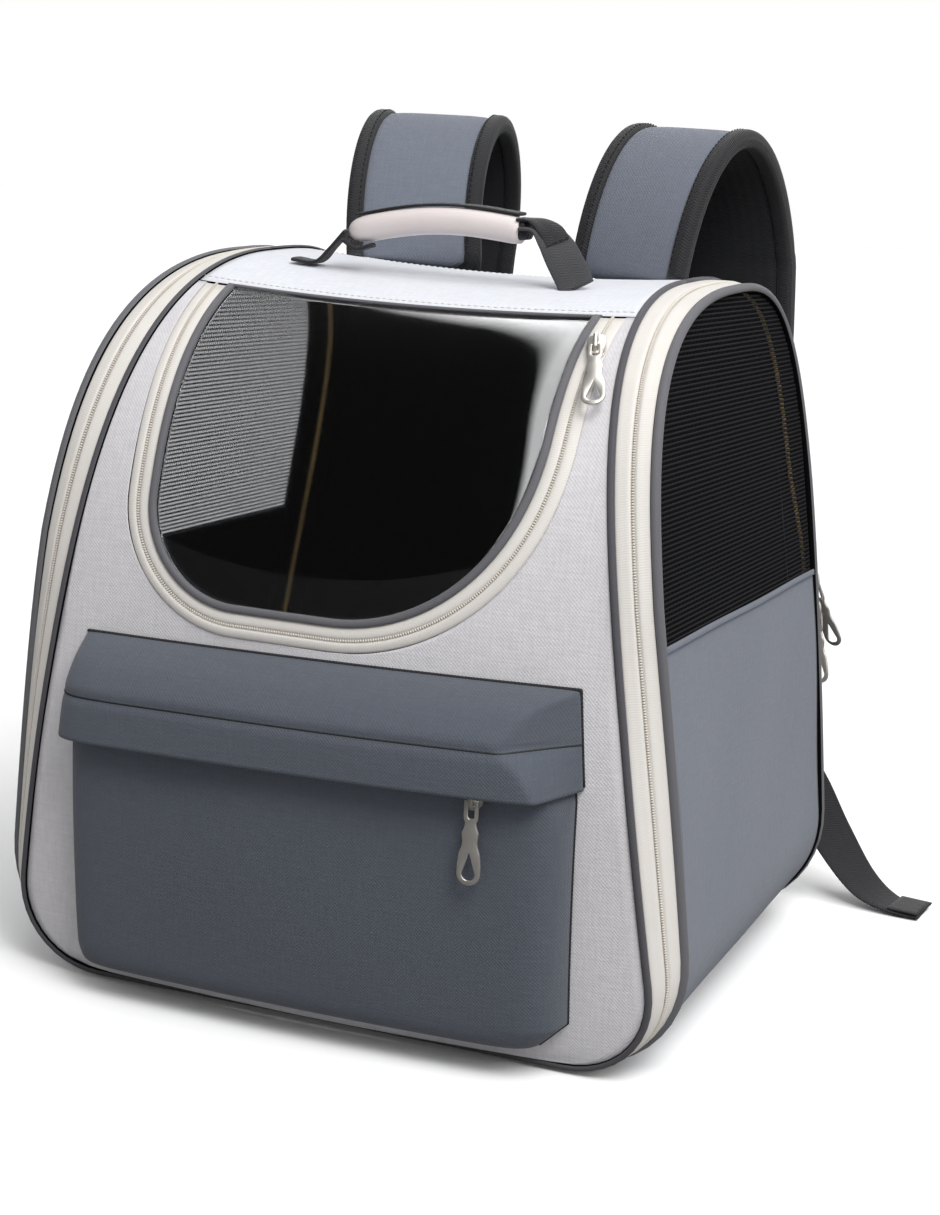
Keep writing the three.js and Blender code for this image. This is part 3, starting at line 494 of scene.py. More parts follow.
def rounded(width, wall, power, count):
    """A rounded rectangle as points across and off a path."""
    angle = np.linspace(0, 2 * np.pi, count, endpoint=False)
    circle = np.stack([np.cos(angle), np.sin(angle)], -1)
    return np.sign(circle) * np.abs(circle) ** (2 / power) * np.array([width, wall]) / 2


def cord(name, path, radius, finish):
    """A round cord along a path."""
    return sweep(name, path, rounded(2 * radius, 2 * radius, 2, 12), finish)


def joined(name, pieces):
    """Several pieces as one object with one mesh."""
    with bpy.context.temp_override(active_object=pieces[0], selected_editable_objects=pieces):
        bpy.ops.object.join()
    pieces[0].name = name
    pieces[0].data.name = name
    return pieces[0]


def paint_inside_shade(piece):
    """Paints shade on the faces that look into the bag: they take the near-black inside finish."""
    piece.data.materials.append(finish_of("lining"))
    for face in piece.data.polygons:
        if face.normal.dot(from_middle(face.center).normalized()) < 0.05:
            face.material_index = 1


def settle(piece, slot, *nodes, body="bag"):
    """Says which body a piece rides on and which solids it stands for; its slot is not used."""
    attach(piece, body)
    if nodes:
        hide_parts(*nodes)
    return piece


# Finishes


def add_node(tree, kind, inputs=(), **settings):
    """Adds a node whose inputs are values or other nodes' outputs, and gives its outputs."""
    node = tree.nodes.new(kind)
    for key, value in settings.items():
        setattr(node, key, value)
    for key, value in dict(inputs).items():
        feed(tree, node.inputs[key], value)
    return node.outputs


def feed(tree, socket, value):
    if isinstance(value, bpy.types.NodeSocket):
        tree.links.new(value, socket)
    else:
        socket.default_value = value


class Recipe:
    """One procedural finish, built node by node."""

    def __init__(self, name, **sockets):
        self.material = bpy.data.materials.new(name)
        self.material.use_nodes = True
        self.tree = self.material.node_tree
        for key, value in sockets.items():
            self.set(key.replace("_", " "), value)

    def set(self, key, value):
        feed(self.tree, self.tree.nodes["Principled BSDF"].inputs[key], value)

    def paint(self, value):
        self.set("Base Color", value)

    def add(self, kind, inputs=(), **settings):
        return add_node(self.tree, kind, inputs, **settings)

    def math(self, operation, *values):
        return self.add("ShaderNodeMath", dict(enumerate(values)), operation=operation)[0]

    def mix(self, factor, first, second):
        return self.add("ShaderNodeMix", {0: factor, 6: first, 7: second}, data_type="RGBA")[2]

    def cloth_axes(self):
        """The cloth's own two directions in millimetres."""
        weave = self.add("ShaderNodeUVMap", uv_map="weave")["UV"]
        axes = self.add("ShaderNodeSeparateXYZ", {"Vector": weave})
        return axes["X"], axes["Y"]

    def wave(self, value, pitch):
        return self.math("SINE", self.math("MULTIPLY", value, 2 * np.pi / pitch))

    def level(self, wave):
        """A wave as a height from 0 to 1."""
        return self.math("MULTIPLY_ADD", wave, 0.5, 0.5)

    def noise(self, scale, detail=3.0, place=None):
        place = place or self.add("ShaderNodeTexCoord")["Object"]
        return self.add("ShaderNodeTexNoise", {"Vector": place, "Scale": scale, "Detail": detail})["Fac"]

    def streaks(self, along, across, length=11, width=1.5):
        """Uneven threads along one of the cloth's directions."""
        place = {"X": self.math("DIVIDE", along, length), "Y": self.math("DIVIDE", across, width)}
        return self.noise(1.0, 2.0, self.add("ShaderNodeCombineXYZ", place)["Vector"])

    def bump(self, height, strength, distance=0.3):
        relief = {"Height": height, "Strength": strength, "Distance": distance * MM}
        self.set("Normal", self.add("ShaderNodeBump", relief)["Normal"])


def shade(rgba, share):
    """A colour made lighter or darker."""
    return (*(min(1, c * share) for c in rgba[:3]), 1)


def woven(name, base, relief=0.5):
    """Plain woven polyester: threads that pass over and under each other, slightly uneven in tone, with
    painted shade in the valleys between them.
    """
    recipe = Recipe(name, Roughness=0.82, Sheen_Weight=0.12, Sheen_Roughness=0.5, Specular_IOR_Level=0.3)
    pitch = sizes().thread / MM
    u, v = recipe.cloth_axes()
    level = recipe.level(recipe.math("MULTIPLY", recipe.wave(u, pitch), recipe.wave(v, pitch)))
    uneven = recipe.math("ADD", recipe.streaks(u, v), recipe.streaks(v, u))
    tone = recipe.mix(recipe.math("SUBTRACT", uneven, 0.5), shade(base, 0.88), shade(base, 1.11))
    # Painted shade: a darker copy of the cloth that fills the weave's valleys
    dark = recipe.mix(recipe.noise(900, 1.0), shade(base, 0.84), shade(base, 0.98))
    valley = recipe.math("MULTIPLY", recipe.math("SUBTRACT", 1.0, level), 0.32)
    recipe.paint(recipe.mix(valley, tone, dark))
    recipe.bump(recipe.math("ADD", level, uneven), relief)
    return recipe.material


def ribbed(name, base, pitch=1.4, relief=0.6, valley=0.72, chevron=0.5):
    """Woven webbing or tape: narrow ribs across it with a slant that turns at its middle, and painted shade
    in the valleys between the ribs.
    """
    recipe = Recipe(name, Roughness=0.75, Sheen_Weight=0.08, Specular_IOR_Level=0.3)
    u, v = recipe.cloth_axes()
    slant = recipe.math("MULTIPLY", recipe.math("PINGPONG", u, 3.2), chevron)
    level = recipe.level(recipe.wave(recipe.math("ADD", v, slant), pitch))
    tone = recipe.mix(recipe.noise(60), shade(base, 0.9), shade(base, 1.08))
    # Painted shade: the ribs' valleys are darker by the valley share
    recipe.paint(recipe.mix(level, shade(base, valley), tone))
    recipe.bump(level, relief)
    return recipe.material


def grained(name, base, scale, relief, **sockets):
    """A finish with a fine even grain, such as leatherette, moulded plastic or plated metal."""
    recipe = Recipe(name, **sockets)
    recipe.paint(recipe.mix(recipe.noise(scale / 12), shade(base, 0.92), shade(base, 1.04)))
    recipe.bump(recipe.noise(scale, 4.0), relief)
    return recipe.material


def clear_film(name):
    """Clear glossy film with faint waves."""
    recipe = Recipe(name, Roughness=0.035, IOR=1.6, Transmission_Weight=1.0)
    recipe.paint(FILM_TINT)
    recipe.bump(recipe.noise(11, 1.0), 0.3, 1.2)
    return recipe.material


# Finishes other than the film: how each is made, its colour and what sets it apart
PIPED = {"pitch": 1.3, "relief": 0.35, "chevron": 1.0}
COILED = {"scale": 500, "relief": 0.1, "Roughness": 0.45}
DULL = {"relief": 0.2}
THREAD = {"scale": 900, **DULL, "Roughness": 0.7}
FINISHES = {
    "light": (woven, "light", {}),
    "white": (woven, "white", {"relief": 0.3}),
    "slate": (woven, "slate", {}),
    # Pocket and flap: the slate cloth darkened by painted shade
    "pocket": (woven, "pocket", {"relief": 0.6}),
    "cream": (ribbed, "cream", {"pitch": 1.1, "relief": 0.15, "valley": 0.93, "chevron": 0.0}),
    "side_piping": (ribbed, "piping", PIPED),
    "panel_piping": (ribbed, "edge", PIPED),
    "black": (ribbed, "black", {"relief": 0.7}),
    "grey": (ribbed, "grey", {"relief": 0.8}),
    # Near-black inside finish: painted shade for the inside of the bag
    "lining": (grained, "lining", {"scale": 700, **DULL, "Roughness": 0.9, "Specular_IOR_Level": 0.05}),
    "strand": (grained, "black", {"scale": 900, **DULL, "Roughness": 0.85, "Specular_IOR_Level": 0.15}),
    "coil": (grained, "coil", COILED),
    "brass": (grained, "brass", COILED),
    "grip": (grained, "grip", {"scale": 620, "relief": 0.35, "Roughness": 0.42, "Sheen_Weight": 0.05}),
    "plastic": (grained, "black", {"scale": 1500, "relief": 0.15, "Roughness": 0.4}),
    "metal": (grained, "metal", {"scale": 240, "relief": 0.06, "Roughness": 0.28, "Metallic": 0.8}),
    "slate_thread": (grained, "slate", THREAD),
    # The crease thread takes the same near-black colour as the painted inside shade
    "pocket_thread": (grained, "lining", THREAD),
    "cream_thread": (grained, "cream", THREAD),
}


def finish_of(key):
    """The finish of that name, made when it is first asked for."""
    name = f"carrier_{key}"
    if name in bpy.data.materials:
        return bpy.data.materials[name]
    if key == "film":
        return clear_film(name)
    make, tint, options = FINISHES[key]
    return make(name, colour(tint), **options)


# Geometry Nodes


def path_of(tree, source):
    return add_node(tree, "GeometryNodeMeshToCurve", {0: source["Geometry"]})[0]


def out_of_cloth(tree):
    kept = {"Name": "out"}
    return add_node(tree, "GeometryNodeInputNamedAttribute", kept, data_type="FLOAT_VECTOR")["Attribute"]


def row_nodes(tree, source):
    """Small rounded bodies, such as stitches or zip teeth, in a row along paths."""
    path = {"Curve": path_of(tree, source), "Length": source["Pitch"]}
    even = add_node(tree, "GeometryNodeResampleCurve", path, mode="LENGTH")[0]
    bead = add_node(tree, "GeometryNodeMeshUVSphere", {"Segments": 6, "Rings": 4, "Radius": 0.5})["Mesh"]
    tangent = add_node(tree, "GeometryNodeInputTangent")[0]
    axes = {"Primary Axis": out_of_cloth(tree), "Secondary Axis": tangent}
    turn = add_node(tree, "FunctionNodeAxesToRotation", axes, primary_axis="Z", secondary_axis="X")[0]
    row = {"Points": even, "Instance": bead, "Rotation": turn, "Scale": source["Size"]}
    return add_node(tree, "GeometryNodeInstanceOnPoints", row)[0]


def strand_nodes(tree, source):
    """Flat strands along paths, lying in the cloth that the paths follow."""
    path = {"Curve": path_of(tree, source), "Normal": out_of_cloth(tree)}
    laid = add_node(tree, "GeometryNodeSetCurveNormal", path, mode="FREE")[0]
    section = {"Width": source["Wall"], "Height": source["Width"]}
    section = add_node(tree, "GeometryNodeCurvePrimitiveQuadrilateral", section)[0]
    body = {"Curve": laid, "Profile Curve": section, "Fill Caps": True}
    return add_node(tree, "GeometryNodeCurveToMesh", body)[0]


TREES = {
    "row": (row_nodes, {"Pitch": "Float", "Size": "Vector", "Finish": "Material"}),
    "strands": (strand_nodes, {"Width": "Float", "Wall": "Float", "Finish": "Material"}),
}
MADE_TREES = {}


def make_tree(kind):
    """A Geometry Nodes tree that ends in real meshes with their finish, and its inputs' identifiers."""
    nodes, inputs = TREES[kind]
    tree = bpy.data.node_groups.new(kind, "GeometryNodeTree")

    def socket(label, in_out, data):
        return tree.interface.new_socket(label, in_out=in_out, socket_type=f"NodeSocket{data}").identifier

    socket("Geometry", "INPUT", "Geometry")
    identifiers = {label: socket(label, "INPUT", data) for label, data in inputs.items()}
    socket("Geometry", "OUTPUT", "Geometry")
    source = add_node(tree, "NodeGroupInput")
    real = add_node(tree, "GeometryNodeRealizeInstances", {0: nodes(tree, source)})[0]
    painted = {"Geometry": real, "Material": source["Finish"]}
    add_node(tree, "NodeGroupOutput", {0: add_node(tree, "GeometryNodeSetMaterial", painted)[0]})
    return tree, identifiers


def grown(name, paths, kind, **inputs):
    """A plain mesh that a tree makes along paths, each given with the direction out of its cloth."""
    points, outs, edges = [], [], []
    for path, out in paths:
        first = len(points)
        points.extend((np.asarray(path) * MM).tolist())
        outs.append(np.broadcast_to(out, np.shape(path)))
        edges.extend((i, i + 1) for i in range(first, len(points) - 1))
    mesh = bpy.data.meshes.new(name)
    mesh.from_pydata(points, edges, [])
    layer = mesh.attributes.new("out", "FLOAT_VECTOR", "POINT")
    layer.data.foreach_set("vector", np.concatenate(outs).astype(np.float32).ravel())
    guide = plain_object(f"{name}_guide", mesh)
    if kind not in MADE_TREES:
        MADE_TREES[kind] = make_tree(kind)
    tree, identifiers = MADE_TREES[kind]
    modifier = guide.modifiers.new(kind, "NODES")
    modifier.node_group = tree
    for label, value in inputs.items():
        modifier[identifiers[label]] = value
    graph = bpy.context.evaluated_depsgraph_get()
    made = bpy.data.meshes.new_from_object(guide.evaluated_get(graph), depsgraph=graph)
    bpy.data.objects.remove(guide)
    if not made.polygons:
        raise RuntimeError(f"{name}: the tree made no faces")
    made.name = name
    if not made.materials:
        made.materials.append(inputs["Finish"])
    made.shade_smooth()
    return plain_object(name, made)


def stitched(name, paths, finish):
    """Rows of stitches that stand on the cloth along paths."""
    size = (sizes().stitch_length, *(side * MM for side in STITCH_SECTION))
    return grown(name, paths, "row", Pitch=sizes().stitch_pitch, Size=size, Finish=finish_of(finish))


def coiled(name, path, finish, share=1.0):
    """A row of zip teeth along a path."""
    pitch = sizes().coil_pitch
    size = (0.8 * pitch, sizes().coil_width * share, TOOTH_HEIGHT * MM)
    return grown(name, [path], "row", Pitch=pitch, Size=size, Finish=finish_of(finish))


def on_grid(grid, column, lift):
    """A path along one column of a grid, lifted off the cloth, with the direction out of it."""
    normals = grid_normals(grid)[:, column]
    return grid[:, column] + lift * normals, normals


# Pieces of the bag


def wrinkle(x, z, size=0.5):
    """Shallow unevenness of stretched cloth."""
    wide = np.sin(x / 31 + z / 47) * np.sin(z / 39 - x / 83)
    fine = np.sin(x / 17 - z / 23 + 1.3) * np.sin(z / 61)
    return size * (wide + 0.6 * fine)


def front_grids():
    """The front panel round its window: below it, left of it and right of it, as x and z."""
    margin = WINDOW["zip"] + 0.3
    low = WINDOW["bottom"] - margin
    heights = edge_heights(PANEL, "front", SEAM, WINDOW_SEAM)
    lower = np.concatenate([heights[heights < low - 5], low - np.array([3, 1, 0.3, 0])])
    arcs = [low + (WINDOW["corner"][side] + margin) * quarter(22) for side in SIDES.values()]
    upper = np.unique(np.concatenate([*arcs, heights[heights > arcs[1][-1] + 2]]).round(3))
    upper = upper[np.concatenate([[True], np.diff(upper) > 0.25])]
    steps = np.linspace(0, 1, 26)

    def strips(z):
        """Rows of x left of the window, across it and right of it."""
        wide = edge_x(PANEL, z, SEAM)
        limits = [-wide, *(window_side(side, np.maximum(z, low), margin) for side in SIDES.values()), wide]
        return [between(a[:, None], b[:, None], steps) for a, b in zip(limits, limits[1:])]

    left, middle, right = strips(lower)
    below = np.concatenate([left, middle[:, 1:], right[:, 1:]], axis=1)
    left, _, right = strips(upper)
    return (below, lower), (left, upper), (right, upper)


class MakeFront(bpy.types.Operator):
    """Makes the light front panel round its window and the white strip along the ridge"""

    bl_idname = "carrier.front"
    bl_label = "Front panel and top strip"

    def execute(self, context):
        parts = []
        for x, z in front_grids():
            z = np.broadcast_to(z[:, None], x.shape)
            points = front_point(x, z, wrinkle(x, z))
            weave = np.stack([x, z], -1)
            parts.append(mesh_piece("front_part", points, grid_faces(*x.shape), finish_of("light"), weave))
        panel = joined("front_panel_cloth", parts)
        edit_mesh(panel.data, weld(0.02 * MM), face_from_middle)
        thicken(panel, sizes().cloth_wall / MM)
        settle(panel, "panel_light", "front_panel")
        self.top_strip()
        return {"FINISHED"}

    def top_strip(self):
        """The white strip from the window's seam over the ridge to the back panel."""
        u = np.linspace(-1, 1, 61)
        ahead, behind = (edge_heights(PANEL, face, SEAM, PANEL["top"], arch=60) for face in FACES)
        ahead = np.concatenate([[WINDOW_SEAM + 0.3], ahead[ahead > WINDOW_SEAM + 1]])
        behind = np.concatenate([behind[behind > RIDGE_SEAM + 0.1][-2::-1], [RIDGE_SEAM]])
        runs = zip(FACES, (ahead, behind))
        grid = np.concatenate([panel_point(face, u[None], z[:, None]) for face, z in runs])
        settle(cloth_wall("top_strip_cloth", grid, "white"), "panel_white", "top_strip")
        rows = [on_grid(grid.transpose(1, 0, 2), i, 0.2) for i in (1, len(grid) - 2)]
        settle(stitched("top_strip_stitches", rows, "cream_thread"), "panel_white")


class MakeWindow(bpy.types.Operator):
    """Makes the window's clear film, its bound edge, its zip tape and the zip's teeth"""

    bl_idname = "carrier.window"
    bl_label = "Window"

    def execute(self, context):
        self.film()
        grid = np.stack([front_point(*window_path(margin).T, height) for margin, height in WINDOW_TAPE], 1)
        settle(cloth_wall("window_zip_tape", grid, "cream", TAPE_WALL), "zip_tape", "window_zip")
        settle(coiled("window_zip_teeth", on_grid(grid, TEETH_COLUMN["window"], 0.5), "coil"), "zip_tape")
        binding = WINDOW["binding"]
        path, rim = (front_point(*window_path(-inset).T, 0.6) for inset in (binding / 2, binding))
        edge = sweep("window_edge", path, rounded(binding - 0.4, 3.4, 2.6, 16), "side_piping", rim - path)
        settle(edge, "piping", "window_binding")
        x = np.linspace(-WINDOW["half"], WINDOW["half"], 60)
        seam = front_point(x, WINDOW_SEAM + 0.1, 0.2)
        settle(cord("window_top_seam", seam, 0.9, "side_piping"), "piping")
        return {"FINISHED"}

    def film(self):
        """The clear film, which stands out a little inside its bound edge, most of all at its top."""
        margin = FILM["tuck"] - WINDOW["binding"]
        low, top = WINDOW["bottom"] - margin, WINDOW_SEAM + 1
        z = between(low, top, np.linspace(0, 1, 70) ** 1.6)
        left, right = (window_side(side, z, margin)[:, None] for side in SIDES.values())
        x = between(left, right, np.linspace(0, 1, 80))
        height = np.broadcast_to(z[:, None], x.shape)

        def rise(distance, reach):
            return 1 - np.exp(-np.maximum(distance, 0) / reach)

        most = between(FILM["foot"], sizes().film_swell / MM, (height - low) / (top - low))
        swell = most * rise(x - left, FILM["left"]) * rise(right - x, FILM["right"])
        grid = front_point(x, height, swell * rise(top - height, FILM["top"]) - FILM["sunk"])
        piece = cloth_wall("window_clear_film", grid, "film", sizes().film_wall / MM, "film")
        settle(piece, "film", "window_film")


class MakeWalls(bpy.types.Operator):
    """Makes the back panel, the lower sides, the nets and the base"""

    bl_idname = "carrier.walls"
    bl_label = "Back, sides and base"

    def execute(self, context):
        self.back()
        for suffix, side in SIDES.items():
            self.side_cloth(suffix, side)
            self.net(suffix, side)
        self.base()
        return {"FINISHED"}

    def back(self):
        u = np.linspace(-1, 1, 61)
        heights = edge_heights(PANEL, "back", SEAM, RIDGE_SEAM - 0.08)[::-1]
        grid = panel_point("back", u[None], heights[:, None])
        low = np.clip(1 - grid[..., 2] / 320, 0, 1)
        grid = grid + grid_normals(grid) * (low * wrinkle(grid[..., 0], grid[..., 2], 0.7))[..., None]
        settle(cloth_wall("back_panel_cloth", grid, "slate"), "panel_slate", "back_panel")

    def side_cloth(self, suffix, side):
        """The lower half of a side, which curves under the bag, with the hem under the net."""
        across = np.linspace(0, 1, 56)
        seam = between(*NET_SEAM, across)
        corner = SIDE["bottom"] + SIDE["corner"]
        wall = seam - 0.3 + (corner - seam) * np.linspace(0, 1, 26)[:, None]
        bend = SIDE["bottom"] + SIDE["corner"] * quarter(22)[-2::-1]
        z = np.concatenate([wall, np.broadcast_to(bend[:, None], (len(bend), len(across)))])
        grid = side_point(side, across[None, :], z)
        grid[..., 0] += side * wrinkle(grid[..., 1], z, 0.6) * np.clip(z / 60, 0, 1)
        cloth = cloth_wall(f"side_cloth_{suffix}_cloth", grid, "slate")
        settle(cloth, "panel_slate", f"side_cloth_{suffix}")
        hem = grid[0] + np.array([side * 0.5, 0, -0.6])
        fold = sweep(f"net_seam_{suffix}", hem, rounded(2.8, 1.4, 3, 12), "slate", Z_AXIS)
        settle(fold, "panel_slate")
        row = grid[0] + np.array([side * 1.3, 0, -1.6])
        stitches = stitched(f"net_seam_stitches_{suffix}", [(row, side * X_AXIS)], "slate_thread")
        settle(stitches, "panel_slate")

    def net(self, suffix, side):
        """Crossing strands from the seam up to the arch of a side."""
        pitch = sizes().net_pitch / MM
        inset = SIDE_SEAM - 0.6
        peak = SIDE["top"] - inset
        z = edge_heights(SIDE, "front", 0, peak, arch=80)
        z = np.unique(np.concatenate([np.linspace(120, 240, 60), z[z > 240]]))
        front, back = (edge_y(SIDE, face, z, inset) for face in FACES)
        first, last = (edge[np.searchsorted(z, 190)] for edge in (front, back))

        def roof(y):
            return np.minimum(np.interp(y, front, z, right=peak), np.interp(-y, -back, z, right=peak))

        def floor(y):
            return between(*NET_SEAM, (y - first) / (last - first))

        def strand(y, height, sink):
            place = np.stack([side * (edge_x(SIDE, height) - sink), y, height], -1)
            return place, side * X_AXIS

        columns, rows = [], []
        for y in np.arange(first + pitch / 2, last, pitch):
            low, top = floor(y), roof(y)
            if top > low + 2:
                height = np.linspace(low - 1, top, max(4, int((top - low) / 6)))
                columns.append(strand(np.full(len(height), y), height, 0.7))
        y = np.linspace(first, last, 76)
        for level in np.arange(pitch / 2, 150, pitch):
            height = floor(y) + level
            keep = height < roof(y)
            if keep.sum() > 3:
                rows.append(strand(y[keep], height[keep], 0.5))
        look = {"Wall": sizes().net_wall, "Finish": finish_of("strand")}
        lines = [
            grown(f"net_{suffix}", paths, "strands", Width=width, **look)
            for paths, width in ((rows, sizes().net_row), (columns, sizes().net_column))
        ]
        settle(joined(f"net_{suffix}", lines), "net", f"side_net_{suffix}")

    def base(self):
        low = np.array(SIDE["bottom"])
        half = edge_x(SIDE, low) - 0.3
        front, back = (edge_y(SIDE, face, low, SIDE_SEAM) for face in FACES)
        x, y = np.meshgrid(np.linspace(-half, half, 40), np.linspace(front, back, 40))
        grid = np.stack([x, y, np.full(x.shape, 0.05)], -1)
        settle(cloth_wall("base_cloth", grid, "slate", SIDE["bottom"]), "panel_slate", "base_panel")


class MakeZipBands(bpy.types.Operator):
    """Makes the zip bands round the sides of the bag, with their teeth"""

    bl_idname = "carrier.zip_bands"
    bl_label = "Zip bands"

    def execute(self, context):
        shares, heights = np.array(BAND_TAPE).T
        for suffix, side in SIDES.items():
            inner = edge_path(PANEL, side)
            across = edge_path(SIDE, side) - inner
            along = unit(np.gradient(inner, axis=0))
            square = np.sqrt(np.sum(across**2, -1) - np.sum(across * along, -1) ** 2)
            trim = (SEAM / square)[:, None]
            t = trim + (1 - 2 * trim) * shares
            flat = inner[:, None] + across[:, None] * t[..., None]
            away = (flat[..., 2] - BAND_SWELL["z"]) / BAND_SWELL["reach"]
            swell = BAND_SWELL["height"] * np.exp(-(away**4))
            swell = swell * (flat[..., 1] > 0) * np.sin(np.pi * shares) ** 0.7
            grid = flat + grid_normals(flat) * (heights + swell)[..., None]
            tape = cloth_wall(f"zip_tape_{suffix}", grid, "cream", TAPE_WALL)
            settle(tape, "zip_tape", f"zip_band_{suffix}")
            outside, inside = (on_grid(grid, TEETH_COLUMN["band"], lift) for lift in (0.6, -2.4))
            settle(coiled(f"zip_teeth_{suffix}", outside, "coil"), "zip_tape")
            settle(coiled(f"zip_inner_teeth_{suffix}", inside, "brass", 2), "zip_tape")
        return {"FINISHED"}


class MakePipings(bpy.types.Operator):
    """Makes the piped edges of the panels and the sides"""

    bl_idname = "carrier.pipings"
    bl_label = "Pipings"

    def execute(self, context):
        left, right = (edge_path(PANEL, side) for side in SIDES.values())
        apex = int(np.argmax(left[:, 2]))
        paths = {
            "panel_piping_front": np.concatenate([left[: apex + 1][::-1], right[1 : apex + 1]]),
            "panel_piping_back": np.concatenate([left[apex:], right[apex:][::-1]]),
            "side_piping_left": edge_path(SIDE, -1),
            "side_piping_right": edge_path(SIDE, 1),
        }
        for name, path in paths.items():
            kind = name.split("_")[0]
            piping = cord(f"{name}_cord", path, PIPING[kind], f"{kind}_piping")
            # The piping's inward faces get painted shade
            paint_inside_shade(piping)
            settle(piping, "piping", name)
        return {"FINISHED"}


def pillow(t, edge, round_off):
    """A share that is 1 over most of -1 to 1 and falls to 0 in a rounded edge at both ends."""
    return (1 - np.minimum(1, np.abs(t)) ** edge) ** (1 / round_off)


def crowded(count, power):
    """Shares from -1 to 1 that lie closer together towards both ends."""
    t = np.linspace(-1, 1, count)
    return np.sign(t) * (1 - (1 - np.abs(t)) ** power)


def flap_half(z):
    """Half the flap's width at a height."""
    return FLAP["half"] - FLAP["narrows"] * (z - FLAP["low"])


def pressed(depth, x, z, under=False):
    """A depth of the flap, or of the pocket under it, kept to what its pressed right end leaves."""
    slope = PRESSED["slope"] + PRESSED["opens"] * np.maximum(0, PRESSED["from"] - z)
    most = PRESSED["edge"] + slope * np.maximum(0, flap_half(z) - x)
    if under:
        most = most - PRESSED["cover"] * np.hypot(1, slope) - PRESSED["play"]
    return np.maximum(LEAST_DEPTH, -np.logaddexp(-depth, -most))


class MakePocket(bpy.types.Operator):
    """Makes the front pocket and the creased flap that hangs over it"""

    bl_idname = "carrier.pocket"
    bl_label = "Pocket and flap"

    def execute(self, context):
        u, v = crowded(121, 2.4)[None, :], crowded(81, 3.2)[:, None]
        z = between(POCKET["bottom"], POCKET["top"], (v + 1) / 2)
        narrow = np.clip(POCKET["bottom"] + POCKET["chamfer"] - z, 0, None) * np.where(u > 0, 1, 0.15)
        narrow = narrow + POCKET["narrows"] * np.maximum(0, z - POCKET["narrows_from"])
        x = u * (POCKET["half"] - narrow)
        z = np.broadcast_to(z, x.shape)
        depth = between(LEAST_DEPTH, POCKET["depth"], pillow(u, 18, 2.2) * pillow(v, 22, 2.4))
        slack = wrinkle(x, z, 0.9) * pillow(u, 4, 1) * pillow(v, 4, 1)
        grid = front_point(x, z, pressed(depth, x, z, under=True) + slack)
        body = cloth_wall("pocket_cloth", grid, "pocket", POCKET["wall"], "pocket")
        settle(body, "pocket_slate", "pocket_body")
        # A black cord down the pocket's right end: painted shadow in the gap between the pocket and the panel
        settle(cord("pocket_gap_shadow", grid[:, -1], 0.7, "black"), "pocket_slate")
        self.flap()
        return {"FINISHED"}

    def flap(self):
        section = smooth_path(FLAP_SECTION, 44)
        u = crowded(121, 2.4)[None, :]
        level = section[:, :1]
        x = u * flap_half(level)
        z = level + FLAP["tilt"] * u
        out = pressed(section[:, 1:] * pillow(u, 20, 2.2), x, level)
        crease = 1.1 * np.exp(-(((level - FLAP["crease"]) / 2) ** 2)) * np.minimum(1, out / 12)
        grid = front_point(x, z, np.maximum(LEAST_DEPTH, out - crease + 0.5 * wrinkle(x, z * 3)))
        flap = cloth_wall("pocket_flap_cloth", grid, "pocket", FLAP["wall"], "pocket")
        settle(flap, "pocket_slate", "pocket_flap")
        fold = grid[int(np.argmin(np.abs(section[:, 0] - FLAP["crease"])))]
        settle(cord("pocket_flap_crease", fold, 0.4, "pocket_thread"), "pocket_slate")
        # Black cord along the flap's top seam and down its right end: a dark seam at the top, painted shadow
        # in the gap at the end
        edge = np.concatenate([grid[0], grid[3::3, -1]])
        settle(cord("pocket_flap_seam_and_gap_shadow", edge, 0.8, "black"), "pocket_slate")


def webbing(name, points, widths, size, count, *nodes, finish="black"):
    """Flat webbing with rounded edges, smoothly through points, its width along directions."""
    both = smooth_path(np.hstack([points, np.broadcast_to(widths, np.shape(points))]), count)
    piece = sweep(name, both[:, :3], rounded(*size, 3.4, 20), finish, both[:, 3:])
    return settle(piece, f"webbing_{finish}", *nodes)


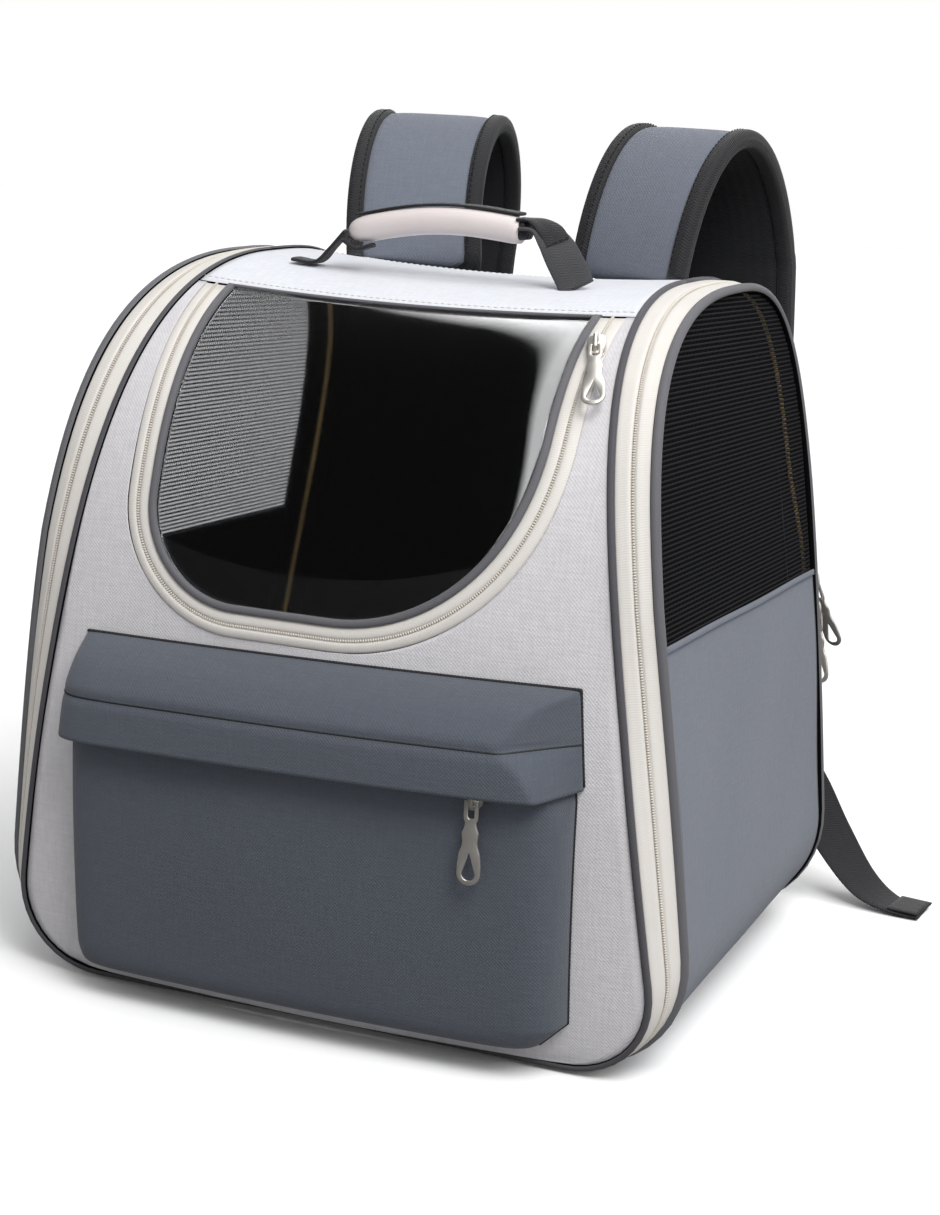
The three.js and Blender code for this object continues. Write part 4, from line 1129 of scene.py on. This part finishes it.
class MakeHandle(bpy.types.Operator):
    """Makes the padded grip on the ridge and the webbing that carries it"""

    bl_idname = "carrier.handle"
    bl_label = "Carrying handle"

    def execute(self, context):
        t = np.linspace(0, 1, 60)
        x, z = (between(first, last, t) for first, last in zip(GRIP["from"], GRIP["to"]))
        path = np.stack([x, np.full(60, HANDLE_Y), z + GRIP["rise"] * np.sin(np.pi * t)], -1)
        ends = 1 - 0.55 * np.exp(-t / 0.035) - 0.1 * np.exp((t - 1) / 0.02)
        section = rounded(2 * GRIP["radius"], 2 * GRIP["radius"] - 1.5, 2.3, 28)
        grip = sweep("handle_grip_pad", path, section, "grip", Y_AXIS, ends)
        settle(grip, "grip", "handle_grip")
        top = path[2:-1] + np.array([0, 2.6, GRIP["radius"] + 0.4])
        webbing("handle_strip", top, Y_AXIS, (11, 1.6), 50)
        self.ends()
        return {"FINISHED"}

    def ends(self):
        """The webbing's two ends: the left one edge-on, the right one folded and turned to the front."""
        outer, inner = (ridge_z(x, HANDLE_Y) for x in (-80, -68))
        left = [(-80, -20, outer + 2), (-68, -20, inner + 2.4), (-61, -20, inner + 9), (-53, -20, 353.5)]
        turned = [(0, 1, 0), (0, 1, 0), (-0.1, 1, 0), (-0.1, 1, 0)]
        webbing("handle_end_left", left, turned, (12, 2), 40, "handle_webbing_left")
        foot = (67, -28, ridge_z(67, -26) + 0.8)
        right = [(37, -20, 360.5), (46, -20.5, 360), (53, -22, 355), (59, -24, 347), (64, -26, 340), foot]
        turned = [(0.3, 1, 0), (0.55, 0.85, 0), (0.85, 0.55, 0), (0.97, 0.25, 0), (1, 0.1, 0), (1, 0, 0)]
        webbing("handle_end_right", right, turned, (17, 2), 50, "handle_webbing_right", finish="grey")
        fold = [(-53, -22, 349), (-46, -22.5, 345.5), (-39, -22, 347.5)]
        webbing("handle_fold", fold, Y_AXIS, (9, 2.2), 16)
        cuff = np.array([(34, -20, 359.6), (39, -20, 360.4)])
        settle(sweep("handle_cuff", cuff, rounded(12.5, 10, 2.4, 20), "black", Y_AXIS), "webbing_black")
        over = [(35, -20, 364.6), (43, -20.4, 364.2), (50, -21.6, 360.4), (54.5, -23, 355)]
        turned = [(0.2, 1, 0), (0.5, 0.88, 0), (0.8, 0.6, 0), (0.92, 0.38, 0)]
        webbing("handle_cuff_fold", over, turned, (13, 1.8), 24)


def strap_path(side):
    """Points of a shoulder strap's middle and the directions of its width."""
    t = np.linspace(0, 1, 44)[:, None]
    y = STRAP_ARCH["y"] - STRAP_ARCH["depth"] * np.cos(np.pi * t)
    z = STRAP_ARCH["z"] + STRAP_ARCH["height"] * np.sin(np.pi * t)
    arch = np.hstack([between(*STRAP_ARCH["x"], t), y, z, between(*STRAP_ARCH["turn"], t)])
    rows = smooth_path(np.vstack([arch, STRAP_RUN]), 120)
    turn = np.radians(rows[:, 3])
    points = rows[:, :3] * np.array([side, 1, 1])
    return points, np.stack([np.cos(turn), -side * np.sin(turn), np.zeros(len(turn))], -1)


def seat_foot(piece, corners):
    """Cuts the foot of a strap, its first corners, to the cloth that it stands on."""
    for vertex in piece.data.vertices[:corners]:
        x, y, _ = vertex.co / MM
        vertex.co.z = (ridge_z(x, y) + STRAP["foot"]) * MM


def swell_pad(piece, held):
    """Swells a padded piece as filled cloth, with its held points fixed and its movement capped."""
    group = piece.vertex_groups.new(name="held")
    group.add(held, 1.0, "REPLACE")
    cloth = piece.modifiers.new("pad", "CLOTH")
    for key, value in PAD_CLOTH.items():
        setattr(cloth.settings, key, value)
    cloth.settings.vertex_group_mass = group.name
    cloth.settings.effector_weights.gravity = 0
    cloth.point_cache.frame_start = 1
    cloth.point_cache.frame_end = sizes().pad_frames
    scene = bpy.context.scene
    for number in range(1, sizes().pad_frames + 1):
        scene.frame_set(number)
    graph = bpy.context.evaluated_depsgraph_get()
    before, after = np.empty((2, len(piece.data.vertices) * 3), np.float32)
    piece.data.vertices.foreach_get("co", before)
    piece.evaluated_get(graph).data.vertices.foreach_get("co", after)
    move = (after - before).reshape(-1, 3)
    reach = np.linalg.norm(move, axis=1, keepdims=True)
    move *= np.minimum(1, sizes().pad_swell / np.maximum(reach, 1e-9))
    piece.modifiers.remove(cloth)
    piece.vertex_groups.clear()
    piece.data.vertices.foreach_set("co", (before.reshape(-1, 3) + move).ravel())
    piece.data.update()
    scene.frame_set(1)


class MakeStraps(bpy.types.Operator):
    """Makes the padded shoulder straps with their bound edges"""

    bl_idname = "carrier.straps"
    bl_label = "Shoulder straps"

    def execute(self, context):
        for suffix, side in SIDES.items():
            points, widths = strap_path(side)
            self.pad(suffix, points, widths)
            _, across, off = path_frames(points, widths)
            for place, turn in (("inner", -side), ("outer", side)):
                path = points + across * turn * (STRAP["core"] + STRAP["edge"]) / 2
                self.edge(suffix, place, path, widths)
            rows = []
            for turn in (-1, 1):
                row = points + across * turn * (STRAP["core"] / 2 + 2.2) + off * (STRAP["roll"] / 2 - 0.1)
                rows.append((row[3:], off[3:]))
            settle(stitched(f"strap_stitches_{suffix}", rows, "strand"), "webbing_black")
        return {"FINISHED"}

    def pad(self, suffix, points, widths):
        """The pad between the bound edges: cloth outside, black inside."""
        half, wall = STRAP["core"] / 2 + 1.5, STRAP["pad"] / 2
        x = np.linspace(-half, half, 15)
        lens = wall * (0.72 + 0.28 * (1 - (x / half) ** 4))
        section = np.concatenate([np.stack([x, lens], -1), np.stack([x[::-1], -lens[::-1]], -1)])
        pad = sweep(f"strap_pad_{suffix}", points, section, "slate", widths)
        count, outer = len(section), len(x)
        seat_foot(pad, count)
        rows = np.arange(len(points) * count).reshape(-1, count)
        edges = rows[:, [0, 1, outer - 2, outer - 1, outer, outer + 1, count - 2, count - 1]]
        swell_pad(pad, np.unique(np.concatenate([edges.ravel(), rows[0], rows[-1]])).tolist())
        pad.data.materials.append(finish_of("black"))
        for face in pad.data.polygons:
            columns = [v % count for v in face.vertices]
            if len(columns) == 4 and min(columns) >= outer:
                face.material_index = 1
        round_off = pad.modifiers.new("round", "SUBSURF")
        round_off.levels = 1
        round_off.render_levels = 1
        settle(pad, "panel_slate", f"shoulder_strap_{suffix}")

    def edge(self, suffix, place, path, widths):
        section = rounded(STRAP["edge"], STRAP["roll"], 3, 18)
        edge = sweep(f"strap_edge_{suffix}_{place}", path, section, "black", widths)
        seat_foot(edge, len(section))
        settle(edge, "webbing_black", f"strap_binding_{suffix}_{place}")


class MakeWebbing(bpy.types.Operator):
    """Makes the adjusters, the lower webbing and the loose ends of the straps"""

    bl_idname = "carrier.webbing"
    bl_label = "Webbing and adjusters"

    def execute(self, context):
        for suffix, side in SIDES.items():
            mirror = np.array([side, 1, 1])
            lower = np.array(LOWER_WEBBING) * mirror
            webbing(f"lower_strap_{suffix}", lower, X_AXIS, WEBBING, 60, f"lower_webbing_{suffix}")
            tail, lay = (part * mirror for part in np.hsplit(np.array(TAIL), 2))
            webbing(f"loose_end_{suffix}", tail, lay, WEBBING, 90, f"strap_tail_{suffix}")
            hem = tail[-1] + np.array([(-side * 16, 2.6, 2.1), (side * 0.6, 0.2, 1.9)])
            webbing(f"loose_end_hem_{suffix}", hem, lay[-1], (WEBBING[0], 1.6), 8)
            settle(self.adjuster(suffix, side), "buckle", f"strap_adjuster_{suffix}")
        return {"FINISHED"}

    def adjuster(self, suffix, side):
        """A ladder of rounded bars in black plastic."""
        middle = np.array([side * ADJUSTER["x"], ADJUSTER["y"], ADJUSTER["z"]])
        wide, high, bar = ADJUSTER["width"] / 2, ADJUSTER["height"] / 2, ADJUSTER["bar"]
        levels, posts = (-high + bar / 2, 0, high - bar / 2), (-wide + bar / 2, wide - bar / 2)
        bars = [((-wide + 0.5, 0, level), (wide - 0.5, 0, level)) for level in levels]
        bars += [((post, 0, -high), (post, 0, high)) for post in posts]
        taper = np.array([0.8, 0.95, 1, 1, 1, 0.95, 0.8])
        section = rounded(ADJUSTER["wall"], bar, 3, 14)
        pieces = []
        for start, end in bars:
            path = middle + np.linspace(start, end, len(taper))
            pieces.append(sweep("adjuster_bar", path, section, "plastic", Y_AXIS, taper))
        return joined(f"adjuster_{suffix}", pieces)


# Zip sliders: X across the zip, Y up along it and Z away from the cloth


def slider_frames():
    """Where each slider sits, as a matrix in millimetres."""
    places = {}
    for name, (x, z, depth, lift, turn) in FRONT_SLIDERS.items():
        upwards = front_point(x, z + 2, depth) - front_point(x, z - 2, depth)
        aside = front_point(x + 2, z, depth) - front_point(x - 2, z, depth)
        outwards = np.cross(aside, upwards)
        upwards = Matrix.Rotation(turn, 3, Vector(outwards)) @ Vector(upwards)
        places[name] = (front_point(x, z, depth), outwards, upwards, lift)
    for name, (side, height) in BAND_SLIDERS.items():
        edges = [
            [np.array([side * edge_x(e, z), edge_y(e, "back", z), z]) for e in (PANEL, SIDE)]
            for z in np.array([height - 3.0, height, height + 3.0])
        ]
        below, middle, above = [(inner + outer) / 2 for inner, outer in edges]
        across = edges[1][1] - edges[1][0]
        lift = BAND_SLIDER_LIFT + BAND_SWELL["height"]
        places[name] = (middle, -side * np.cross(across, above - below), above - below, lift)
    frames = {}
    for name, (point, outwards, upwards, lift) in places.items():
        z = Vector(outwards).normalized()
        y = Vector(upwards)
        y = (y - z * y.dot(z)).normalized()
        turn = Matrix((y.cross(z), y, z)).transposed().to_4x4()
        frames[name] = Matrix.Translation(Vector(point) + z * lift) @ turn
    return frames


def flat_outline(name, outlines, wall, bevel, height=0.0):
    """A flat metal plate with rounded edges at a height, from the outlines of its rim and its holes."""
    curve = bpy.data.curves.new(name, "CURVE")
    curve.dimensions = "2D"
    curve.fill_mode = "BOTH"
    curve.extrude = wall / 2 - bevel
    curve.bevel_depth = bevel
    curve.bevel_resolution = 2
    curve.offset = -bevel
    for outline in outlines:
        spline = curve.splines.new("POLY")
        spline.points.add(len(outline) - 1)
        for point, (x, y) in zip(spline.points, outline):
            point.co = (x, y, 0, 1)
        spline.use_cyclic_u = True
    guide = plain_object(name, curve)
    graph = bpy.context.evaluated_depsgraph_get()
    mesh = bpy.data.meshes.new_from_object(guide.evaluated_get(graph))
    bpy.data.objects.remove(guide)
    mesh.name = name
    mesh.materials.clear()
    mesh.materials.append(finish_of("metal"))
    edit_mesh(mesh, weld(0.01), face_out)
    mesh.shade_smooth()
    mesh.set_sharp_from_angle(angle=0.7)
    mesh.transform(Matrix.Translation((0, 0, height)))
    return plain_object(name, mesh)


class MakeZipPulls(bpy.types.Operator):
    """Makes the metal zip sliders and the pulls that swing on them"""

    bl_idname = "carrier.zip_pulls"
    bl_label = "Zip sliders and pulls"

    def execute(self, context):
        for name, place in slider_frames().items():
            slider = self.slider(f"{name}_zip_slider")
            if name == "band_left":
                tab = self.pull("band_left_tab")
                tab.data.transform(Matrix.Translation((0, PULL_SEAT[0], SLIDER["height"] + 0.6)))
                slider = joined(slider.name, [slider, tab])
            slider.data.transform(Matrix.Scale(MM, 4) @ place)
            settle(slider, "zip_metal", f"{name}_slider")
            if name != "band_left":
                pull = self.pull(f"{name}_zip_pull")
                hang = Matrix.Translation((0, PULL_SEAT[0], SLIDER["height"] + PULL_SEAT[1]))
                lean = Matrix.Rotation(-PULL_LEAN.get(name, 0), 4, "X")
                pull.data.transform(Matrix.Scale(MM, 4) @ place @ hang @ lean)
                settle(pull, "zip_metal", f"{name}_pull", body=f"{name}_pull")
        return {"FINISHED"}

    def slider(self, name):
        """A slider's two plates with the bridge that its pull hangs on, in millimetres."""
        turn = np.linspace(0, 2 * np.pi, 40, endpoint=False)
        c, s = np.cos(turn), np.sin(turn)
        wide = SLIDER["half_width"] * np.sign(c) * np.abs(c) ** 0.55
        long = SLIDER["half_length"] * s
        wide *= 1 + SLIDER["flare"] * long / SLIDER["half_length"]
        shape = np.stack([wide, long], -1)
        parts = [flat_outline(name, [shape / 1.06], wall, 0.35, low) for low, wall in SLIDER_PLATES]
        post = shape * np.array([0.5, 0.8])
        parts.append(flat_outline(name, [post], SLIDER["height"] - 1.2, 0.2, SLIDER["height"] / 2))
        fine = smooth_path(BRIDGE, 30)
        path = np.stack([np.zeros(30), fine[:, 0], fine[:, 1] + SLIDER["height"]], -1)
        bridge = sweep(name, path, rounded(2, 0.9, 3, 12), "metal", X_AXIS)
        bridge.data.transform(Matrix.Scale(1 / MM, 4))
        return joined(name, [*parts, bridge])

    def pull(self, name):
        """A pull that hangs down from its bar, with a slot for the bridge and a drop-shaped hole."""
        turn = np.linspace(0, np.pi, 22)
        half_circle = np.stack([np.cos(turn), -np.sin(turn)], -1)
        end, drop = (np.array([0, PULL_END["y"]]) + PULL_END[key] * half_circle for key in ("rim", "hole"))
        side = smooth_path(PULL_SIDE, 50)
        rim = np.concatenate([side, end, side[::-1] * np.array([-1, 1])])
        drop = np.concatenate([[(0, PULL_END["hole_top"])], drop])
        return flat_outline(name, [rim, np.array(PULL_SLOT), drop], 1.2, 0.25)


class MakeStage(bpy.types.Operator):
    """Makes the pale floor, the studio lights and the camera"""

    bl_idname = "carrier.stage"
    bl_label = "Stage"

    def execute(self, context):
        scene = context.scene
        self.floor()
        fill = bpy.data.lights.new("studio_front", "AREA")
        fill.size = FILL["size"]
        fill.energy = FILL["power"]
        light = plain_object("studio_front", fill)
        light.location = FILL["place"]
        self.aim(light, Vector(FILL["aim"]) - Vector(FILL["place"]))
        key = bpy.data.lights.new("studio_key", "SUN")
        key.energy = KEY["power"]
        key.angle = KEY["angle"]
        self.aim(plain_object("studio_key", key), -Vector(KEY["from"]))
        self.sky(scene)
        scene.view_settings.view_transform = "Standard"
        self.camera(scene)
        return {"FINISHED"}

    def aim(self, light, way):
        light.rotation_euler = way.to_track_quat("-Z", "Y").to_euler()

    def sky(self, scene):
        """White studio walls: full white behind the bag, softer as light, with a bright band in mirrors."""
        scene.world = bpy.data.worlds.new("studio")
        scene.world.use_nodes = True
        tree = scene.world.node_tree

        def ramp(value, *limits):
            """A value carried from one range to another."""
            return add_node(tree, "ShaderNodeMapRange", dict(enumerate((value, *limits))))[0]

        ray = add_node(tree, "ShaderNodeLightPath")
        way = {0: add_node(tree, "ShaderNodeTexCoord")["Generated"], 1: BAND["across"]}
        across = add_node(tree, "ShaderNodeVectorMath", way, operation="DOT_PRODUCT")["Value"]
        band = ramp(across, *BAND["starts"], SKY["dark"], SKY["band"])
        band = ramp(across, *BAND["ends"], band, SKY["white"])
        lit = ramp(ray["Glossy Depth"], 0.0, 1.0, SKY["light"], band)
        background = tree.nodes["Background"].inputs
        background["Color"].default_value = (1, 1, 1, 1)
        feed(tree, background["Strength"], ramp(ray["Is Camera Ray"], 0.0, 1.0, lit, 1.0))

    def floor(self):
        """A white floor that gives the bag less light than it shows, and stays dark in mirrors."""
        line = np.linspace(-FLOOR["half"], FLOOR["half"], 9)
        x, y = np.meshgrid(line, line)
        grid = np.stack([x, y, np.full(x.shape, FLOOR["z"])], -1)
        recipe = Recipe("studio_floor", Roughness=0.8, Specular_IOR_Level=0.1)
        ray = recipe.add("ShaderNodeLightPath")
        white = colour("floor")
        light, through, mirrored = (shade(white, FLOOR[key]) for key in ("light", "through_film", "mirrored"))
        lit = recipe.mix(ray["Is Transmission Ray"], light, through)
        lit = recipe.mix(ray["Is Camera Ray"], lit, white)
        recipe.paint(recipe.mix(recipe.math("MINIMUM", ray["Glossy Depth"], 1.0), lit, mirrored))
        mesh_piece("studio_floor", grid, grid_faces(*x.shape), recipe.material)

    def camera(self, scene):
        data = bpy.data.cameras.new("studio_camera")
        data.sensor_width = CAMERA["sensor"]
        data.lens = CAMERA["sensor"] * CAMERA["focal_pixels"] / CAMERA["picture_pixels"]
        data.clip_start = 0.05
        yaw, pitch, roll = (CAMERA[key] for key in ("yaw", "pitch", "roll"))
        forward = Vector((-np.sin(yaw) * np.cos(pitch), np.cos(yaw) * np.cos(pitch), -np.sin(pitch)))
        right = Vector((np.cos(yaw), np.sin(yaw), 0))
        down = forward.cross(right)
        right, down = np.cos(roll) * right + np.sin(roll) * down, np.cos(roll) * down - np.sin(roll) * right
        turn = Matrix((right, -down, -forward)).transposed().to_4x4()
        camera = plain_object("studio_camera", data)
        camera.matrix_world = Matrix.Translation(CAMERA["place"]) @ turn
        scene.camera = camera


class CarrierPanel(bpy.types.Panel):
    """Lists the carrier's pieces and their sizes and colours"""

    bl_idname = "VIEW3D_PT_carrier"
    bl_label = "Pet carrier backpack"
    bl_space_type = "VIEW_3D"
    bl_region_type = "UI"
    bl_category = "Carrier"

    def draw(self, context):
        for operator in OPERATORS:
            self.layout.operator(operator.bl_idname)
        for group in (context.scene.carrier_sizes, context.scene.carrier_colours):
            column = self.layout.column()
            for key in group.__annotations__:
                column.prop(group, key)


OPERATORS = (
    MakeStage,
    MakeFront,
    MakeWindow,
    MakeWalls,
    MakeZipBands,
    MakePipings,
    MakePocket,
    MakeHandle,
    MakeStraps,
    MakeWebbing,
    MakeZipPulls,
)
CLASSES = (CarrierSizes, CarrierColours, *OPERATORS, CarrierPanel)


def register():
    for each in CLASSES:
        bpy.utils.register_class(each)
    bpy.types.Scene.carrier_sizes = PointerProperty(type=CarrierSizes)
    bpy.types.Scene.carrier_colours = PointerProperty(type=CarrierColours)


def unregister():
    del bpy.types.Scene.carrier_colours
    del bpy.types.Scene.carrier_sizes
    for each in reversed(CLASSES):
        bpy.utils.unregister_class(each)


def main():
    register()
    for operator in OPERATORS:
        group, name = operator.bl_idname.split(".")
        getattr(getattr(bpy.ops, group), name)()


if __name__ == "__main__":
    main()
